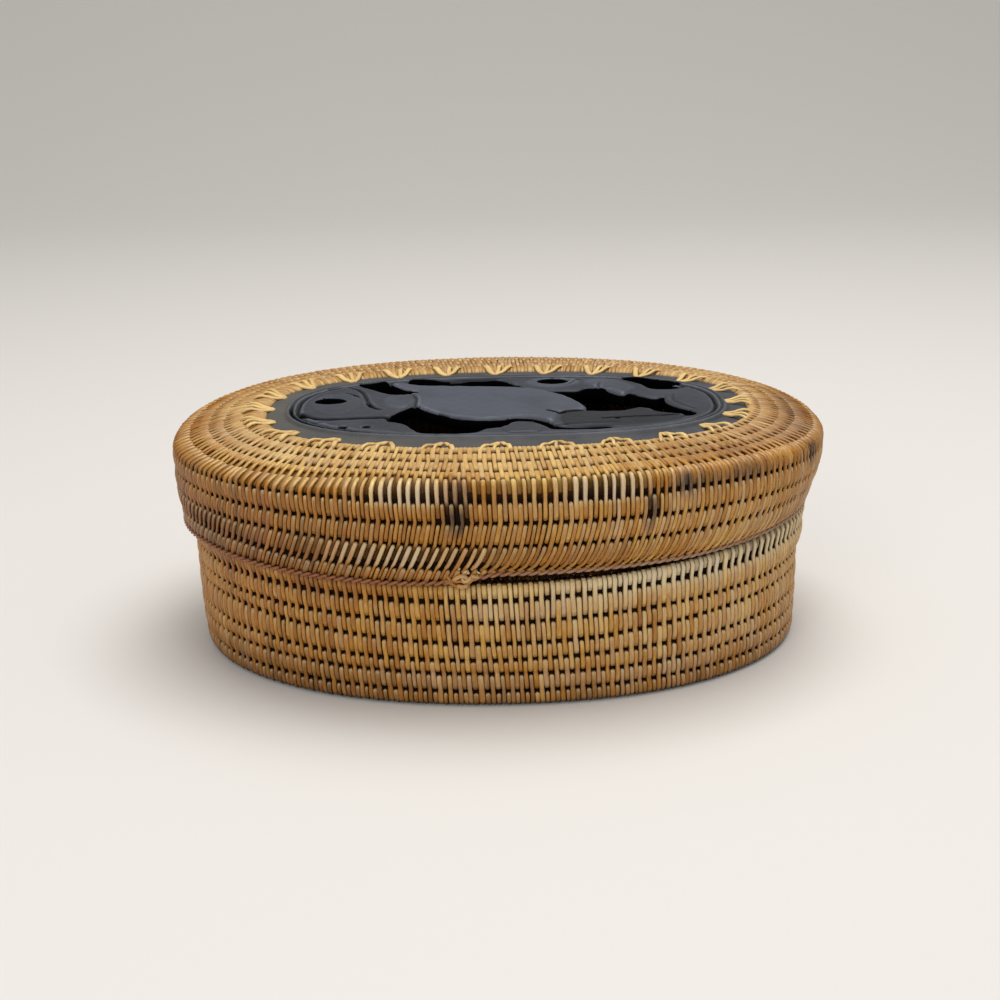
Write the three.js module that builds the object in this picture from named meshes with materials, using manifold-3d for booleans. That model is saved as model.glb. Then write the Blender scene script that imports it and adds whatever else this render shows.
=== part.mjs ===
// Woven lidded box: an oval box of coiled cane with a lift-off lid, and a pierced,
// carved wooden panel lashed into the top of the lid.
// Millimetres, +Z up, the long axis along X, the front towards -Y.
import * as THREE from 'three';
import { mergeVertices } from 'three/addons/utils/BufferGeometryUtils.js';
import Module from 'manifold-3d';

// Driving dimensions
const LID_HALF_LENGTH = 108; // the lid's edge coil, the widest ring of the box
const LID_HALF_WIDTH = 82.5;
const LID_CROWN = 1.6; // the woven top rises this much from its edge to the panel
const PANEL_END_BORDER = 28; // woven border from the lid's edge to the carved panel, along X
const PANEL_SIDE_BORDER = 31; // and along Y
const PANEL_SHIFT = 3; // the maker set the panel this far towards +X
const LID_ROUNDNESS_SHARE = 0.94; // 1 is a true ellipse, less is fuller at the corners
const PANEL_ROUNDNESS_SHARE = 0.8;

// Fits
const SEAT_GAP = 0.3; // between pieces that are stitched or laid together
const LID_CLEARANCE = 0.9; // between the collar and the inside of the lid, all round

// Coil rows of cane
const ROW_BULGE = 1.1; // each wrapped row stands this far out of the valleys beside it
const COIL_ROUNDING = 1.7; // cut from the corners of a single coil's section
const ROW_ROUNDING_SHARES = [[0, 0], [0.25, 1], [0.75, 1]]; // along a row, and of its bulge

// The winding of the coil: its rows climb towards both ends, and the lid's top droops there.
// Places are shares of the way round, anticlockwise from the middle of the front.
const ROW_CLIMB = 5;
const CLIMB_POWER = 1.4; // more keeps the rows level for longer at the front and the back
const LID_DROOP_SHARE = 0.93; // of the edge coil's height, where the top droops most
const DROOP_SHARES = [
  [0, 0], [0.06, 0.03], [0.107, 0.15], [0.148, 0.35], [0.2, 0.6], [0.25, 0.72], [0.3, 0.5],
  [0.352, 0.25], [0.41, 0.08], [0.5, 0], [0.59, 0.05], [0.648, 0.2], [0.7, 0.5], [0.75, 0.85],
  [0.8, 1], [0.874, 0.97], [0.902, 0.85], [0.928, 0.5], [0.953, 0.2], [0.975, 0.05],
];
const DROOP_FADE_SHARES = [[0, 1], [0.08, 0.85], [0.26, 0.62], [0.51, 0.35], [0.79, 0.1], [1, 0]];
const CROWN_SHARES = [[0, 0], [0.08, 0.16], [0.26, 0.36], [0.51, 0.67], [0.79, 1], [1, 1]];

// Base
const BASE_WALL_HEIGHT = 33.9;
const BASE_ROW_HEIGHT_SHARES = [0.142, 0.177, 0.135, 0.158, 0.199, 0.189]; // from the floor up
const BASE_CLIMB_SHARES = [[0.2, 0.14], [0.2, 0.26], [0.6, 0.44], [1, 0.9], [0.7, 0.56]]; // right, left
const BASE_CREST_INSET = 5.9; // the wall's rows stand this far inside the lid's edge coil
const BASE_FOOT_INSET = 1.2; // and the lowest row this much further in
const BASE_INNER_INSET = 11.7; // inner face of wall, shoulder and collar
const SHOULDER_HEIGHT = 7.2;
const SHOULDER_INSET = 4.8;
const FLOOR_THICKNESS = 4.4;
const FLOOR_ROWS = 5;
const FLOOR_CENTRE_SHARE = 0.12; // the straight core that the floor's coil starts round
const COLLAR_HEIGHT = 16.3;
const COLLAR_ROWS = 3;
const COLLAR_BULGE = 0.6;

// Lid
const RIM_HEIGHT = 4.3; // the braid that closes the lid's skirt
const RIM_INSET = 3.2;
const RIM_ROUNDING = 1;
const SKIRT_HEIGHT = 21.7;
const SKIRT_ROWS = 3;
const SKIRT_TOP_INSET = 0.8;
const SKIRT_FOOT_INSET = 3.6;
const SKIRT_FOOT_SLIP = 1.8; // the skirt's foot has slipped this far towards -X
const SKIRT_SLIP_SHARES = [[0, 1], [0.33, 0.52], [0.67, 0], [1, 0]]; // from the foot up
const SKIRT_CLIMB_SHARES = [[0.25, 0.45], [-0.2, 0.05]]; // right, left
const SKIRT_TOP_CLIMB_SHARES = [-0.28, -0.24];
const SKIRT_THICKNESS = 4.2;
const TOP_THICKNESS = 4.4;
const TOP_BULGE = 1.0;
// Where the valleys between the top's rows lie, as shares of the border from the lid's edge
// to the panel: first the edge coil's inner side, then the two valleys after it.
const TOP_VALLEY_SHARES = [
  [
    [0, 0.075], [0.04, 0.1], [0.08, 0.16], [0.12, 0.22], [0.14, 0.25], [0.2, 0.22], [0.35, 0.14],
    [0.5, 0.08], [0.65, 0.18], [0.8, 0.28], [0.92, 0.3], [0.94, 0.27], [0.96, 0.18], [0.98, 0.1],
  ],
  [
    [0, 0.26], [0.02, 0.28], [0.04, 0.34], [0.08, 0.41], [0.2, 0.45], [0.35, 0.36], [0.5, 0.28],
    [0.65, 0.36], [0.8, 0.44], [0.92, 0.42], [0.94, 0.39], [0.96, 0.32], [0.98, 0.27],
  ],
  [
    [0, 0.515], [0.04, 0.58], [0.06, 0.61], [0.2, 0.65], [0.35, 0.58], [0.5, 0.52], [0.65, 0.56],
    [0.8, 0.6], [0.92, 0.61], [0.96, 0.55], [0.98, 0.525],
  ],
];
const EDGE_COIL_LEAN = 3.2; // its inner side leans this far in, under the top
const EDGE_COIL_HEIGHT = 6.2;
const EDGE_ROUNDING_SHARE = 0.4;
const HOOP_WIDTH = 6.0; // the innermost coil, which holds the panel
const FINISH_LENGTH = 7; // where the rim's braid is tied off
const FINISH_HEIGHT = 3.6;
const FINISH_THICKNESS = 1.4;
const FINISH_PLACE = -9;

// Carved panel
const FLANGE_RISE = 0.9; // from the edge coil's top to the flange's top
const FLANGE_THICKNESS = 3.6;
const RIDGE_INSET = 6.8; // from the flange's edge to the ridge's outer foot, along X
const RIDGE_SIDE_INSET = 10; // and along Y
const RIDGE_WIDTH = 3;
const RIDGE_HEIGHT = 1.2;
const RIDGE_GROOVE = 0.6; // depth of the line between the ridge's two beads
const RIDGE_SECTION_SHARES = [[0.12, 0.85], [0.3, 1], [0.5, 0], [0.7, 1], [0.88, 0.85]];
const CHANNEL_WIDTH = 1.2; // the sunk line between the ridge and the figure
const FIGURE_HEIGHT = 0.7; // the carved field above the flange
const RELIEF_HEIGHT = 1.1; // the figure's rounded forms above the flange
const RELIEF_BEVEL = 0.6;
const CARVED_LINE_WIDTH = 1.0;
const CARVED_LINE_DEPTH = 1.2;
const CUT_OVERRUN = 2;
const FIGURE_SHIFT = 0.1; // centre of the figure from the panel's centre
const FIGURE_SIDE_SHIFT = 1.2;

// Lashings that tie the panel to the hoop
const LASHING_COUNT = 24;
const LASHING_REACH = 5.2; // from the flange's edge in to the hole that the strands enter
const STRAND_WIDTH = 1.8;
const STRAND_THICKNESS = 0.9;
const FAN_WIDTH = 8; // the strands have spread to this width where they reach the hoop
const FAN_STEP = 0.8; // they leave the hoop this far before the flange's edge
const LASHING_END_SHARE = 0.75; // how far across the hoop they reach
const HOLE_RADIUS = 1.55;

// Mesh fineness
const OVAL_STEPS = 48;
const HOLE_SIDES = 6;
const STRAND_SIDES = 4;
const ELLIPSE_STEPS = 16;
const FRONT_SHARE = 0.25; // the front lies this share of a turn before +X
const STEPS_PER_POINT = 2; // curve pieces between two points of a carved outline
const BEVEL_STEPS = 1;
const KNOT_STEPS = 12;
const MERGE_DISTANCE = 0.0001;

// Outlines of the pierced openings, as shares of the carved field's half length and width.
const OPENING_SHARES = {
  upper_left: [[-0.71, 0.76], [-0.59, 0.85], [-0.58, 0.69], [-0.52, 0.46], [-0.56, 0.38], [-0.67, 0.63]],
  long_top: [
    [-0.49, 0.9], [-0.17, 0.93], [-0.03, 0.91], [0.05, 0.71], [0.1, 0.58], [-0.02, 0.61],
    [-0.35, 0.69], [-0.43, 0.72],
  ],
  large_right: [
    [0.2, 0.44], [0.35, 0.44], [0.4, 0.54], [0.48, 0.51], [0.51, 0.36], [0.57, 0.24], [0.6, 0.32],
    [0.66, 0.19], [0.72, 0.1], [0.76, 0.17], [0.76, -0.02], [0.79, -0.18], [0.88, -0.42],
    [0.84, -0.51], [0.79, -0.43], [0.7, -0.37], [0.67, -0.24], [0.59, -0.25], [0.54, -0.31],
    [0.38, -0.31], [0.37, -0.13], [0.32, 0.12], [0.27, 0.28],
  ],
  upper_right: [
    [0.57, 0.86], [0.73, 0.75], [0.82, 0.63], [0.86, 0.51], [0.8, 0.43], [0.72, 0.49], [0.69, 0.67],
  ],
  large_lower: [
    [-0.44, -0.03], [-0.38, -0.19], [-0.29, -0.38], [-0.2, -0.5], [-0.03, -0.53], [0.02, -0.49],
    [0.08, -0.49], [0.13, -0.54], [0.18, -0.64], [0.22, -0.77], [0.29, -0.82], [0.46, -0.82],
    [0.46, -0.87], [0.29, -0.89], [0.2, -0.87], [0.16, -0.75], [0.11, -0.65], [0.04, -0.62],
    [0, -0.69], [-0.01, -0.76], [-0.11, -0.83], [-0.16, -0.94], [-0.39, -0.93], [-0.44, -0.79],
    [-0.48, -0.63], [-0.56, -0.51], [-0.56, -0.41], [-0.51, -0.19],
  ],
};
// Round openings: centre and radii, as shares of the same two sizes.
const EYE_SHARES = { centre: [-0.84, 0.16], radii: [0.064, 0.092] };
const RING_HOLE_SHARES = { centre: [0.24, 0.79], radii: [0.079, 0.117] };

// Rounded forms of the figure that stand above the carved field.
const LEAF_SHARES = [
  [-0.56, 0.82], [-0.52, 0.46], [-0.45, 0.26], [-0.43, -0.03], [-0.29, -0.38], [-0.11, -0.54],
  [0.05, -0.47], [0.14, -0.52], [0.2, -0.66], [0.24, -0.4], [0.36, -0.28], [0.36, -0.08],
  [0.26, 0.31], [0.09, 0.56], [-0.2, 0.66], [-0.43, 0.72],
];
const LIMB_SHARES = [
  [0.26, -0.4], [0.33, -0.34], [0.53, -0.34], [0.63, -0.24], [0.7, -0.39], [0.82, -0.54],
  [0.74, -0.7], [0.6, -0.78], [0.42, -0.82], [0.26, -0.78],
];
const FOOT_SHARES = [[0.4, 0.8], [0.52, 0.84], [0.64, 0.5], [0.6, 0.36], [0.57, 0.26], [0.51, 0.4], [0.42, 0.58]];
const HUMP_SHARES = { centre: [0.06, -0.84], radii: [0.1, 0.2] };
const NECK_SHARES = { centre: [-0.52, 0.12], radii: [0.075, 0.25] };
const HEAD_SHARES = { centre: [-0.82, 0.08], radii: [0.125, 0.4] };
const RING_BOSS_SHARES = { centre: [0.24, 0.74], radii: [0.14, 0.2] };
const CARVED_LINE_SHARES = [
  [[-0.72, 0.75], [-0.71, 0.55], [-0.67, 0.28], [-0.64, 0.03], [-0.62, -0.11]],
  [[-0.91, -0.38], [-0.82, -0.44], [-0.67, -0.46], [-0.55, -0.44]],
];

// Sizes worked out from those above
const PANEL_HALF_LENGTH = LID_HALF_LENGTH - PANEL_END_BORDER;
const PANEL_HALF_WIDTH = LID_HALF_WIDTH - PANEL_SIDE_BORDER;
const SHOULDER_LOW = BASE_WALL_HEIGHT + SEAT_GAP;
const SHOULDER_TOP = SHOULDER_LOW + SHOULDER_HEIGHT;
const COLLAR_LOW = SHOULDER_TOP + SEAT_GAP;
const COLLAR_TOP = COLLAR_LOW + COLLAR_HEIGHT;
const RIM_LOW = SHOULDER_TOP + SEAT_GAP;
const RIM_TOP = RIM_LOW + RIM_HEIGHT;
const SKIRT_LOW = RIM_TOP + SEAT_GAP;
const LID_MOUTH_INSET = SKIRT_FOOT_INSET + SKIRT_THICKNESS;
const COLLAR_INSET = LID_MOUTH_INSET + LID_CLEARANCE;
const SKIRT_TOP = SKIRT_LOW + SKIRT_HEIGHT;
const EDGE_LOW = SKIRT_TOP + SEAT_GAP;
const LID_EDGE_TOP = EDGE_LOW + EDGE_COIL_HEIGHT;
const LID_DROOP = EDGE_COIL_HEIGHT * LID_DROOP_SHARE;
const RING_WIDTH = PANEL_SIDE_BORDER - SEAT_GAP;
const HOOP_INSET = RING_WIDTH - HOOP_WIDTH;
const HOOP_TOP = LID_EDGE_TOP + LID_CROWN;
const HOOP_LOW = HOOP_TOP - TOP_THICKNESS;
const FLANGE_TOP = LID_EDGE_TOP + FLANGE_RISE;
const PANEL_LOW = FLANGE_TOP - FLANGE_THICKNESS;
const FIELD_HALF_LENGTH = PANEL_HALF_LENGTH - RIDGE_INSET - RIDGE_WIDTH;
const FIELD_HALF_WIDTH = PANEL_HALF_WIDTH - RIDGE_SIDE_INSET - RIDGE_WIDTH;
const UNDER_STRAND = Math.min(PANEL_LOW, HOOP_LOW) - SEAT_GAP;

/** An oval of the lid's proportions, drawn in by an inset, for the upright walls. */
function wallOval(inset) {
  return {
    halfLength: LID_HALF_LENGTH - inset,
    halfWidth: LID_HALF_WIDTH - inset,
    roundness: LID_ROUNDNESS_SHARE,
    shift: 0,
  };
}

/** An oval of the woven top: it turns from the lid's outline into the panel's. */
function topOval(inset) {
  const share = inset / PANEL_SIDE_BORDER;
  return {
    halfLength: THREE.MathUtils.lerp(LID_HALF_LENGTH, PANEL_HALF_LENGTH, share),
    halfWidth: LID_HALF_WIDTH - inset,
    roundness: THREE.MathUtils.lerp(LID_ROUNDNESS_SHARE, PANEL_ROUNDNESS_SHARE, share),
    shift: PANEL_SHIFT * share,
  };
}

/** An oval of the panel, drawn in by its own insets along X and along Y. */
function panelOval(inset, sideInset = inset) {
  return {
    halfLength: PANEL_HALF_LENGTH - inset,
    halfWidth: PANEL_HALF_WIDTH - sideInset,
    roundness: PANEL_ROUNDNESS_SHARE,
    shift: PANEL_SHIFT,
  };
}

/** An oval of the coiled floor, which starts round a straight core. */
function floorOval(inset) {
  const halfWidth = LID_HALF_WIDTH - inset;
  const core = LID_HALF_LENGTH - LID_HALF_WIDTH;
  return { halfLength: halfWidth + core, halfWidth, roundness: LID_ROUNDNESS_SHARE, shift: 0 };
}

/** The point of an oval at an angle: a superellipse. */
function ovalPoint(oval, angle) {
  const power = (value) => Math.sign(value) * Math.abs(value) ** oval.roundness;
  const x = oval.halfLength * power(Math.cos(angle)) + oval.shift;
  return new THREE.Vector2(x, oval.halfWidth * power(Math.sin(angle)));
}

/** Points once round an oval, anticlockwise from above. */
function ovalPoints(oval, steps = OVAL_STEPS) {
  return Array.from({ length: steps }, (_, i) => ovalPoint(oval, (2 * Math.PI * i) / steps));
}

/** Points spaced evenly along an oval from its front, each with its outward direction. */
function evenPoints(oval, count) {
  const outline = ovalPoints(oval, OVAL_STEPS * LASHING_COUNT).map((p) => new THREE.Vector3(p.x, p.y, 0));
  const front = outline.length * 0.75;
  const turned = [...outline.slice(front), ...outline.slice(0, front)];
  const path = new THREE.CurvePath();
  turned.forEach((point, i) => path.add(new THREE.LineCurve3(point, turned[(i + 1) % turned.length])));
  return Array.from({ length: count }, (_, i) => {
    const tangent = path.getTangentAt(i / count);
    return { place: path.getPointAt(i / count), outward: new THREE.Vector3(tangent.y, -tangent.x, 0) };
  });
}

/** A value between knots of a share and a value, eased from each to the next. */
function between(knots, share) {
  const next = knots.findIndex(([place]) => place > share);
  const [to, after] = next < 0 ? [1, knots[0][1]] : knots[next];
  const [from, before] = knots.at(next < 0 ? -1 : next - 1);
  return THREE.MathUtils.lerp(before, after, THREE.MathUtils.smoothstep(share, from, to));
}

/** How far a valley has climbed at a share of the way round: most at the two ends. */
function climb([right, left], share) {
  const side = Math.sin(2 * Math.PI * share);
  return ROW_CLIMB * (side > 0 ? right : left) * Math.abs(side) ** CLIMB_POWER;
}

/** The height of the woven top at an inset: crowned towards the panel, drooping at the ends. */
function topHeight(inset, share) {
  const border = inset / PANEL_SIDE_BORDER;
  const droop = LID_DROOP * between(DROOP_SHARES, share) * between(DROOP_FADE_SHARES, border);
  return LID_EDGE_TOP + LID_CROWN * between(CROWN_SHARES, border) - droop;
}

/**
 * A solid whose section is carried round ovals. The section is a function of the share of the
 * way round. Each of its points has an inset, a height and perhaps a slip along X, and it runs
 * anticlockwise with the outside to the right. An open section, which starts and ends under and
 * over the middle, is closed with two flat caps.
 */
function ovalSolid(sectionAt, ovalAt, closed = true) {
  const sections = Array.from({ length: OVAL_STEPS }, (_, i) =>
    sectionAt((i / OVAL_STEPS + FRONT_SHARE) % 1));
  const section = sections[0];
  const positions = section.flatMap((_, ring) => sections.flatMap((points, i) => {
    const { inset, height, slip = 0 } = points[ring];
    const p = ovalPoint(ovalAt(inset), (2 * Math.PI * i) / OVAL_STEPS);
    return [p.x + slip, p.y, height];
  }));
  const index = [];
  const at = (ring, step) => ring * OVAL_STEPS + (step % OVAL_STEPS);
  const rings = closed ? section.length : section.length - 1;
  for (let ring = 0; ring < rings; ring += 1) {
    const next = (ring + 1) % section.length;
    for (let step = 0; step < OVAL_STEPS; step += 1) {
      index.push(at(ring, step), at(ring, step + 1), at(next, step + 1));
      index.push(at(ring, step), at(next, step + 1), at(next, step));
    }
  }
  if (!closed) {
    const last = section.length - 1;
    for (let step = 1; step < OVAL_STEPS - 1; step += 1) {
      index.push(at(0, 0), at(0, step + 1), at(0, step));
      index.push(at(last, 0), at(last, step), at(last, step + 1));
    }
  }
  const geometry = new THREE.BufferGeometry();
  geometry.setAttribute('position', new THREE.Float32BufferAttribute(positions, 3));
  geometry.setIndex(index);
  geometry.computeVertexNormals();
  return geometry;
}

/** Rounded coil rows between valleys, bulging away from the solid. */
function coilRows(valleys, bulge) {
  const points = valleys.slice(1).flatMap((to, i) => {
    const from = valleys[i];
    const along = new THREE.Vector2(from.inset - to.inset, to.height - from.height);
    const out = new THREE.Vector2(along.y, -along.x).normalize().multiplyScalar(bulge);
    return ROW_ROUNDING_SHARES.map(([place, rise]) => ({
      inset: from.inset - along.x * place - out.x * rise,
      height: from.height + along.y * place + out.y * rise,
    }));
  });
  return [...points, valleys.at(-1)];
}

/** Valleys at shares of the way from one section point to another, both of them included. */
function valleysBetween(from, to, shares) {
  return [0, ...shares, 1].map((share) => ({
    inset: THREE.MathUtils.lerp(from.inset, to.inset, share),
    height: THREE.MathUtils.lerp(from.height, to.height, share),
  }));
}

/** The shares at which even rows meet. */
function evenRows(count) {
  return Array.from({ length: count - 1 }, (_, i) => (i + 1) / count);
}

/** The section of one wrapped coil: a rectangle with its corners cut. */
function coilSection(outerInset, innerInset, low, high, rounding = COIL_ROUNDING) {
  return [
    { inset: outerInset + rounding, height: low },
    { inset: outerInset, height: low + rounding },
    { inset: outerInset, height: high - rounding },
    { inset: outerInset + rounding, height: high },
    { inset: innerInset - rounding, height: high },
    { inset: innerInset, height: high - rounding },
    { inset: innerInset, height: low + rounding },
    { inset: innerInset - rounding, height: low },
  ];
}

// Base pieces

/** The coiled floor: flat below, rows showing above. */
function baseFloor() {
  const edge = BASE_INNER_INSET + SEAT_GAP;
  const centre = LID_HALF_WIDTH - (LID_HALF_WIDTH - edge) * FLOOR_CENTRE_SHARE;
  const top = FLOOR_THICKNESS - COLLAR_BULGE;
  const rows = coilRows(valleysBetween(
    { inset: edge, height: top }, { inset: centre, height: top }, evenRows(FLOOR_ROWS)), COLLAR_BULGE);
  const under = [{ inset: centre, height: 0 }, { inset: edge, height: 0 }];
  return ovalSolid(() => [...under, ...rows], floorOval, false);
}

/** The wall of the base: six coil rows of uneven height on a smooth inner face. */
function baseWall() {
  const valley = BASE_CREST_INSET + ROW_BULGE;
  const foot = { inset: valley + BASE_FOOT_INSET, height: 0 };
  const top = { inset: valley, height: BASE_WALL_HEIGHT };
  const inner = [
    { inset: BASE_INNER_INSET, height: BASE_WALL_HEIGHT },
    { inset: BASE_INNER_INSET, height: 0 },
  ];
  const shares = BASE_ROW_HEIGHT_SHARES.slice(0, -1)
    .map((_, i) => BASE_ROW_HEIGHT_SHARES.slice(0, i + 1).reduce((sum, share) => sum + share));
  return ovalSolid((share) => {
    const valleys = valleysBetween(foot, top, shares);
    BASE_CLIMB_SHARES.forEach((ends, i) => { valleys[i + 1].height += climb(ends, share); });
    return [...coilRows(valleys, ROW_BULGE), ...inner];
  }, wallOval);
}

/** The thick coil on top of the wall, on which the lid comes to rest. */
function baseShoulder() {
  const section = coilSection(SHOULDER_INSET, BASE_INNER_INSET, SHOULDER_LOW, SHOULDER_TOP);
  return ovalSolid(() => section, wallOval);
}

/** The collar inside the lid, which keeps it from sliding off. */
function baseCollar() {
  const valley = COLLAR_INSET + COLLAR_BULGE;
  const rows = coilRows(valleysBetween(
    { inset: valley, height: COLLAR_LOW }, { inset: valley, height: COLLAR_TOP },
    evenRows(COLLAR_ROWS)), COLLAR_BULGE);
  const inner = [
    { inset: BASE_INNER_INSET, height: COLLAR_TOP },
    { inset: BASE_INNER_INSET, height: COLLAR_LOW },
  ];
  return ovalSolid(() => [...rows, ...inner], wallOval);
}

// Lid pieces

/** The braid that closes the skirt and sits on the shoulder. */
function lidRim() {
  const section = coilSection(RIM_INSET, LID_MOUTH_INSET, RIM_LOW, RIM_TOP, RIM_ROUNDING);
  return ovalSolid(() => section, wallOval);
}

/** The tied-off end of the braid: a small rounded knot on the rim's front face. */
function lidRimFinish() {
  const geometry = new THREE.SphereGeometry(1, KNOT_STEPS, KNOT_STEPS / 2);
  geometry.scale(FINISH_LENGTH / 2, FINISH_THICKNESS / 2, FINISH_HEIGHT / 2);
  const front = LID_HALF_WIDTH - RIM_INSET + SEAT_GAP + FINISH_THICKNESS / 2;
  return geometry.translate(FINISH_PLACE, -front, (RIM_LOW + RIM_TOP) / 2);
}

/** The skirt: three coil rows that draw in towards the rim and slip sideways there. */
function lidSkirt() {
  const foot = { inset: SKIRT_FOOT_INSET + ROW_BULGE, height: SKIRT_LOW };
  const top = { inset: SKIRT_TOP_INSET + ROW_BULGE, height: SKIRT_TOP };
  const ends = [...SKIRT_CLIMB_SHARES, SKIRT_TOP_CLIMB_SHARES];
  return ovalSolid((share) => {
    const valleys = valleysBetween(foot, top, evenRows(SKIRT_ROWS));
    ends.forEach((end, i) => { valleys[i + 1].height += climb(end, share); });
    const rows = coilRows(valleys, ROW_BULGE).map((point) => ({
      ...point,
      slip: -SKIRT_FOOT_SLIP
        * between(SKIRT_SLIP_SHARES, Math.min((point.height - SKIRT_LOW) / SKIRT_HEIGHT, 1)),
    }));
    const inner = [
      { inset: SKIRT_TOP_INSET + SKIRT_THICKNESS, height: valleys.at(-1).height },
      { inset: LID_MOUTH_INSET, height: SKIRT_LOW },
    ];
    return [...rows, ...inner];
  }, wallOval);
}

/** The coil that turns the corner: upright at the front, and lying down towards the ends. */
function lidEdge() {
  return ovalSolid((share) => {
    const low = EDGE_LOW + climb(SKIRT_TOP_CLIMB_SHARES, share);
    const high = topHeight(0, share);
    const rounding = Math.min(COIL_ROUNDING, (high - low) * EDGE_ROUNDING_SHARE);
    const inner = between(TOP_VALLEY_SHARES[0], share) * PANEL_SIDE_BORDER;
    const middle = (rounding + inner) / 2;
    return [
      { inset: rounding, height: low },
      { inset: 0, height: low + rounding },
      { inset: 0, height: high - rounding },
      { inset: rounding * EDGE_ROUNDING_SHARE, height: high },
      { inset: middle, height: topHeight(middle, share) },
      { inset: inner, height: topHeight(inner, share) - TOP_BULGE },
      { inset: inner + EDGE_COIL_LEAN, height: low },
    ];
  }, topOval);
}

/** The rows of the woven top, rising a little towards the panel and drooping at the ends. */
function lidTop() {
  const inner = HOOP_INSET - SEAT_GAP;
  return ovalSolid((share) => {
    const [outer, ...others] = TOP_VALLEY_SHARES.map((knots) => between(knots, share) * PANEL_SIDE_BORDER);
    const valleys = [outer + 2 * SEAT_GAP, ...others, inner]
      .map((inset) => ({ inset, height: topHeight(inset, share) - TOP_BULGE }));
    const foot = outer + EDGE_COIL_LEAN + SEAT_GAP;
    const under = [
      { inset: inner, height: HOOP_LOW },
      { inset: foot + 2 * SEAT_GAP, height: topHeight(outer, share) - TOP_THICKNESS },
    ];
    return [...coilRows(valleys, TOP_BULGE), ...under];
  }, topOval);
}

/** The innermost coil, to which the panel is lashed. */
function lidHoop() {
  const section = coilSection(HOOP_INSET, RING_WIDTH, HOOP_LOW, HOOP_TOP);
  return ovalSolid(() => section, topOval);
}

// Carved panel

const wasm = await Module();
wasm.setup();

/** A closed three.js geometry as a solid for cutting and joining. */
function asSolid(geometry) {
  const bare = new THREE.BufferGeometry();
  bare.setAttribute('position', geometry.getAttribute('position').clone());
  if (geometry.index) bare.setIndex(geometry.index.clone());
  const merged = mergeVertices(bare, MERGE_DISTANCE);
  return new wasm.Manifold(new wasm.Mesh({
    numProp: 3,
    vertProperties: new Float32Array(merged.getAttribute('position').array),
    triVerts: new Uint32Array(merged.index.array),
  }));
}

/** A cut or joined solid as a three.js geometry. */
function asGeometry(solid) {
  const mesh = solid.getMesh();
  const geometry = new THREE.BufferGeometry();
  geometry.setAttribute('position', new THREE.BufferAttribute(new Float32Array(mesh.vertProperties), 3));
  geometry.setIndex(new THREE.BufferAttribute(new Uint32Array(mesh.triVerts), 1));
  geometry.computeVertexNormals();
  return geometry;
}

/** A point of the carved field, given as shares of its half length and half width. */
function fieldPoint([xShare, yShare]) {
  return new THREE.Vector2(
    PANEL_SHIFT + FIGURE_SHIFT + xShare * FIELD_HALF_LENGTH,
    FIGURE_SIDE_SHIFT + yShare * FIELD_HALF_WIDTH);
}

/** A smooth closed outline through points given as shares of the carved field. */
function fieldOutline(shares) {
  const points = shares.map(fieldPoint).map((p) => new THREE.Vector3(p.x, p.y, 0));
  const curve = new THREE.CatmullRomCurve3(points, true, 'centripetal');
  const steps = points.length * STEPS_PER_POINT;
  return Array.from({ length: steps }, (_, i) => curve.getPoint(i / steps));
}

/** An ellipse of the carved field. */
function fieldEllipse({ centre, radii }) {
  const middle = fieldPoint(centre);
  return Array.from({ length: ELLIPSE_STEPS }, (_, i) => {
    const angle = (2 * Math.PI * i) / ELLIPSE_STEPS;
    return new THREE.Vector2(
      middle.x + radii[0] * FIELD_HALF_LENGTH * Math.cos(angle),
      middle.y + radii[1] * FIELD_HALF_WIDTH * Math.sin(angle));
  });
}

/** A flat-sided block over an outline, between two heights. */
function block(outline, low, high) {
  const geometry = new THREE.ExtrudeGeometry(new THREE.Shape(outline), {
    depth: high - low, bevelEnabled: false,
  });
  return asSolid(geometry.translate(0, 0, low));
}

/** A form of the figure, with a bevelled upper edge, standing in the carved field. */
function reliefForm(outline) {
  const geometry = new THREE.ExtrudeGeometry(new THREE.Shape(outline), {
    depth: FLANGE_THICKNESS + RELIEF_HEIGHT - 2 * RELIEF_BEVEL - CARVED_LINE_DEPTH,
    bevelThickness: RELIEF_BEVEL,
    bevelSize: RELIEF_BEVEL,
    bevelOffset: -RELIEF_BEVEL,
    bevelSegments: BEVEL_STEPS,
  });
  return asSolid(geometry.translate(0, 0, PANEL_LOW + RELIEF_BEVEL + CARVED_LINE_DEPTH));
}

/** The raised double ridge round the figure, rooted in the plate. */
function ridge() {
  const foot = { inset: 0, height: PANEL_LOW + CARVED_LINE_DEPTH };
  const crest = RIDGE_SECTION_SHARES.map(([across, rise]) => ({
    inset: across * RIDGE_WIDTH,
    height: FLANGE_TOP + RIDGE_HEIGHT - (1 - rise) * RIDGE_GROOVE,
  }));
  const section = [
    foot, { inset: 0, height: FLANGE_TOP }, ...crest,
    { inset: RIDGE_WIDTH, height: FLANGE_TOP }, { inset: RIDGE_WIDTH, height: foot.height },
  ];
  const ridgeOval = (inset) => panelOval(RIDGE_INSET + inset, RIDGE_SIDE_INSET + inset);
  return asSolid(ovalSolid(() => section, ridgeOval));
}

/** A carved line: a narrow channel along a smooth path in the field. */
function carvedLine(shares) {
  const middle = new THREE.CatmullRomCurve3(
    shares.map(fieldPoint).map((p) => new THREE.Vector3(p.x, p.y, 0)), false, 'centripetal');
  const points = middle.getPoints(shares.length * STEPS_PER_POINT);
  const side = (sign) => points.map((point, i) => {
    const tangent = middle.getTangent(i / (points.length - 1));
    const offset = (sign * CARVED_LINE_WIDTH) / 2;
    return new THREE.Vector2(point.x - tangent.y * offset, point.y + tangent.x * offset);
  });
  const high = FLANGE_TOP + RELIEF_HEIGHT;
  return block([...side(-1), ...side(1).reverse()], high - CARVED_LINE_DEPTH, high + CUT_OVERRUN);
}

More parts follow.
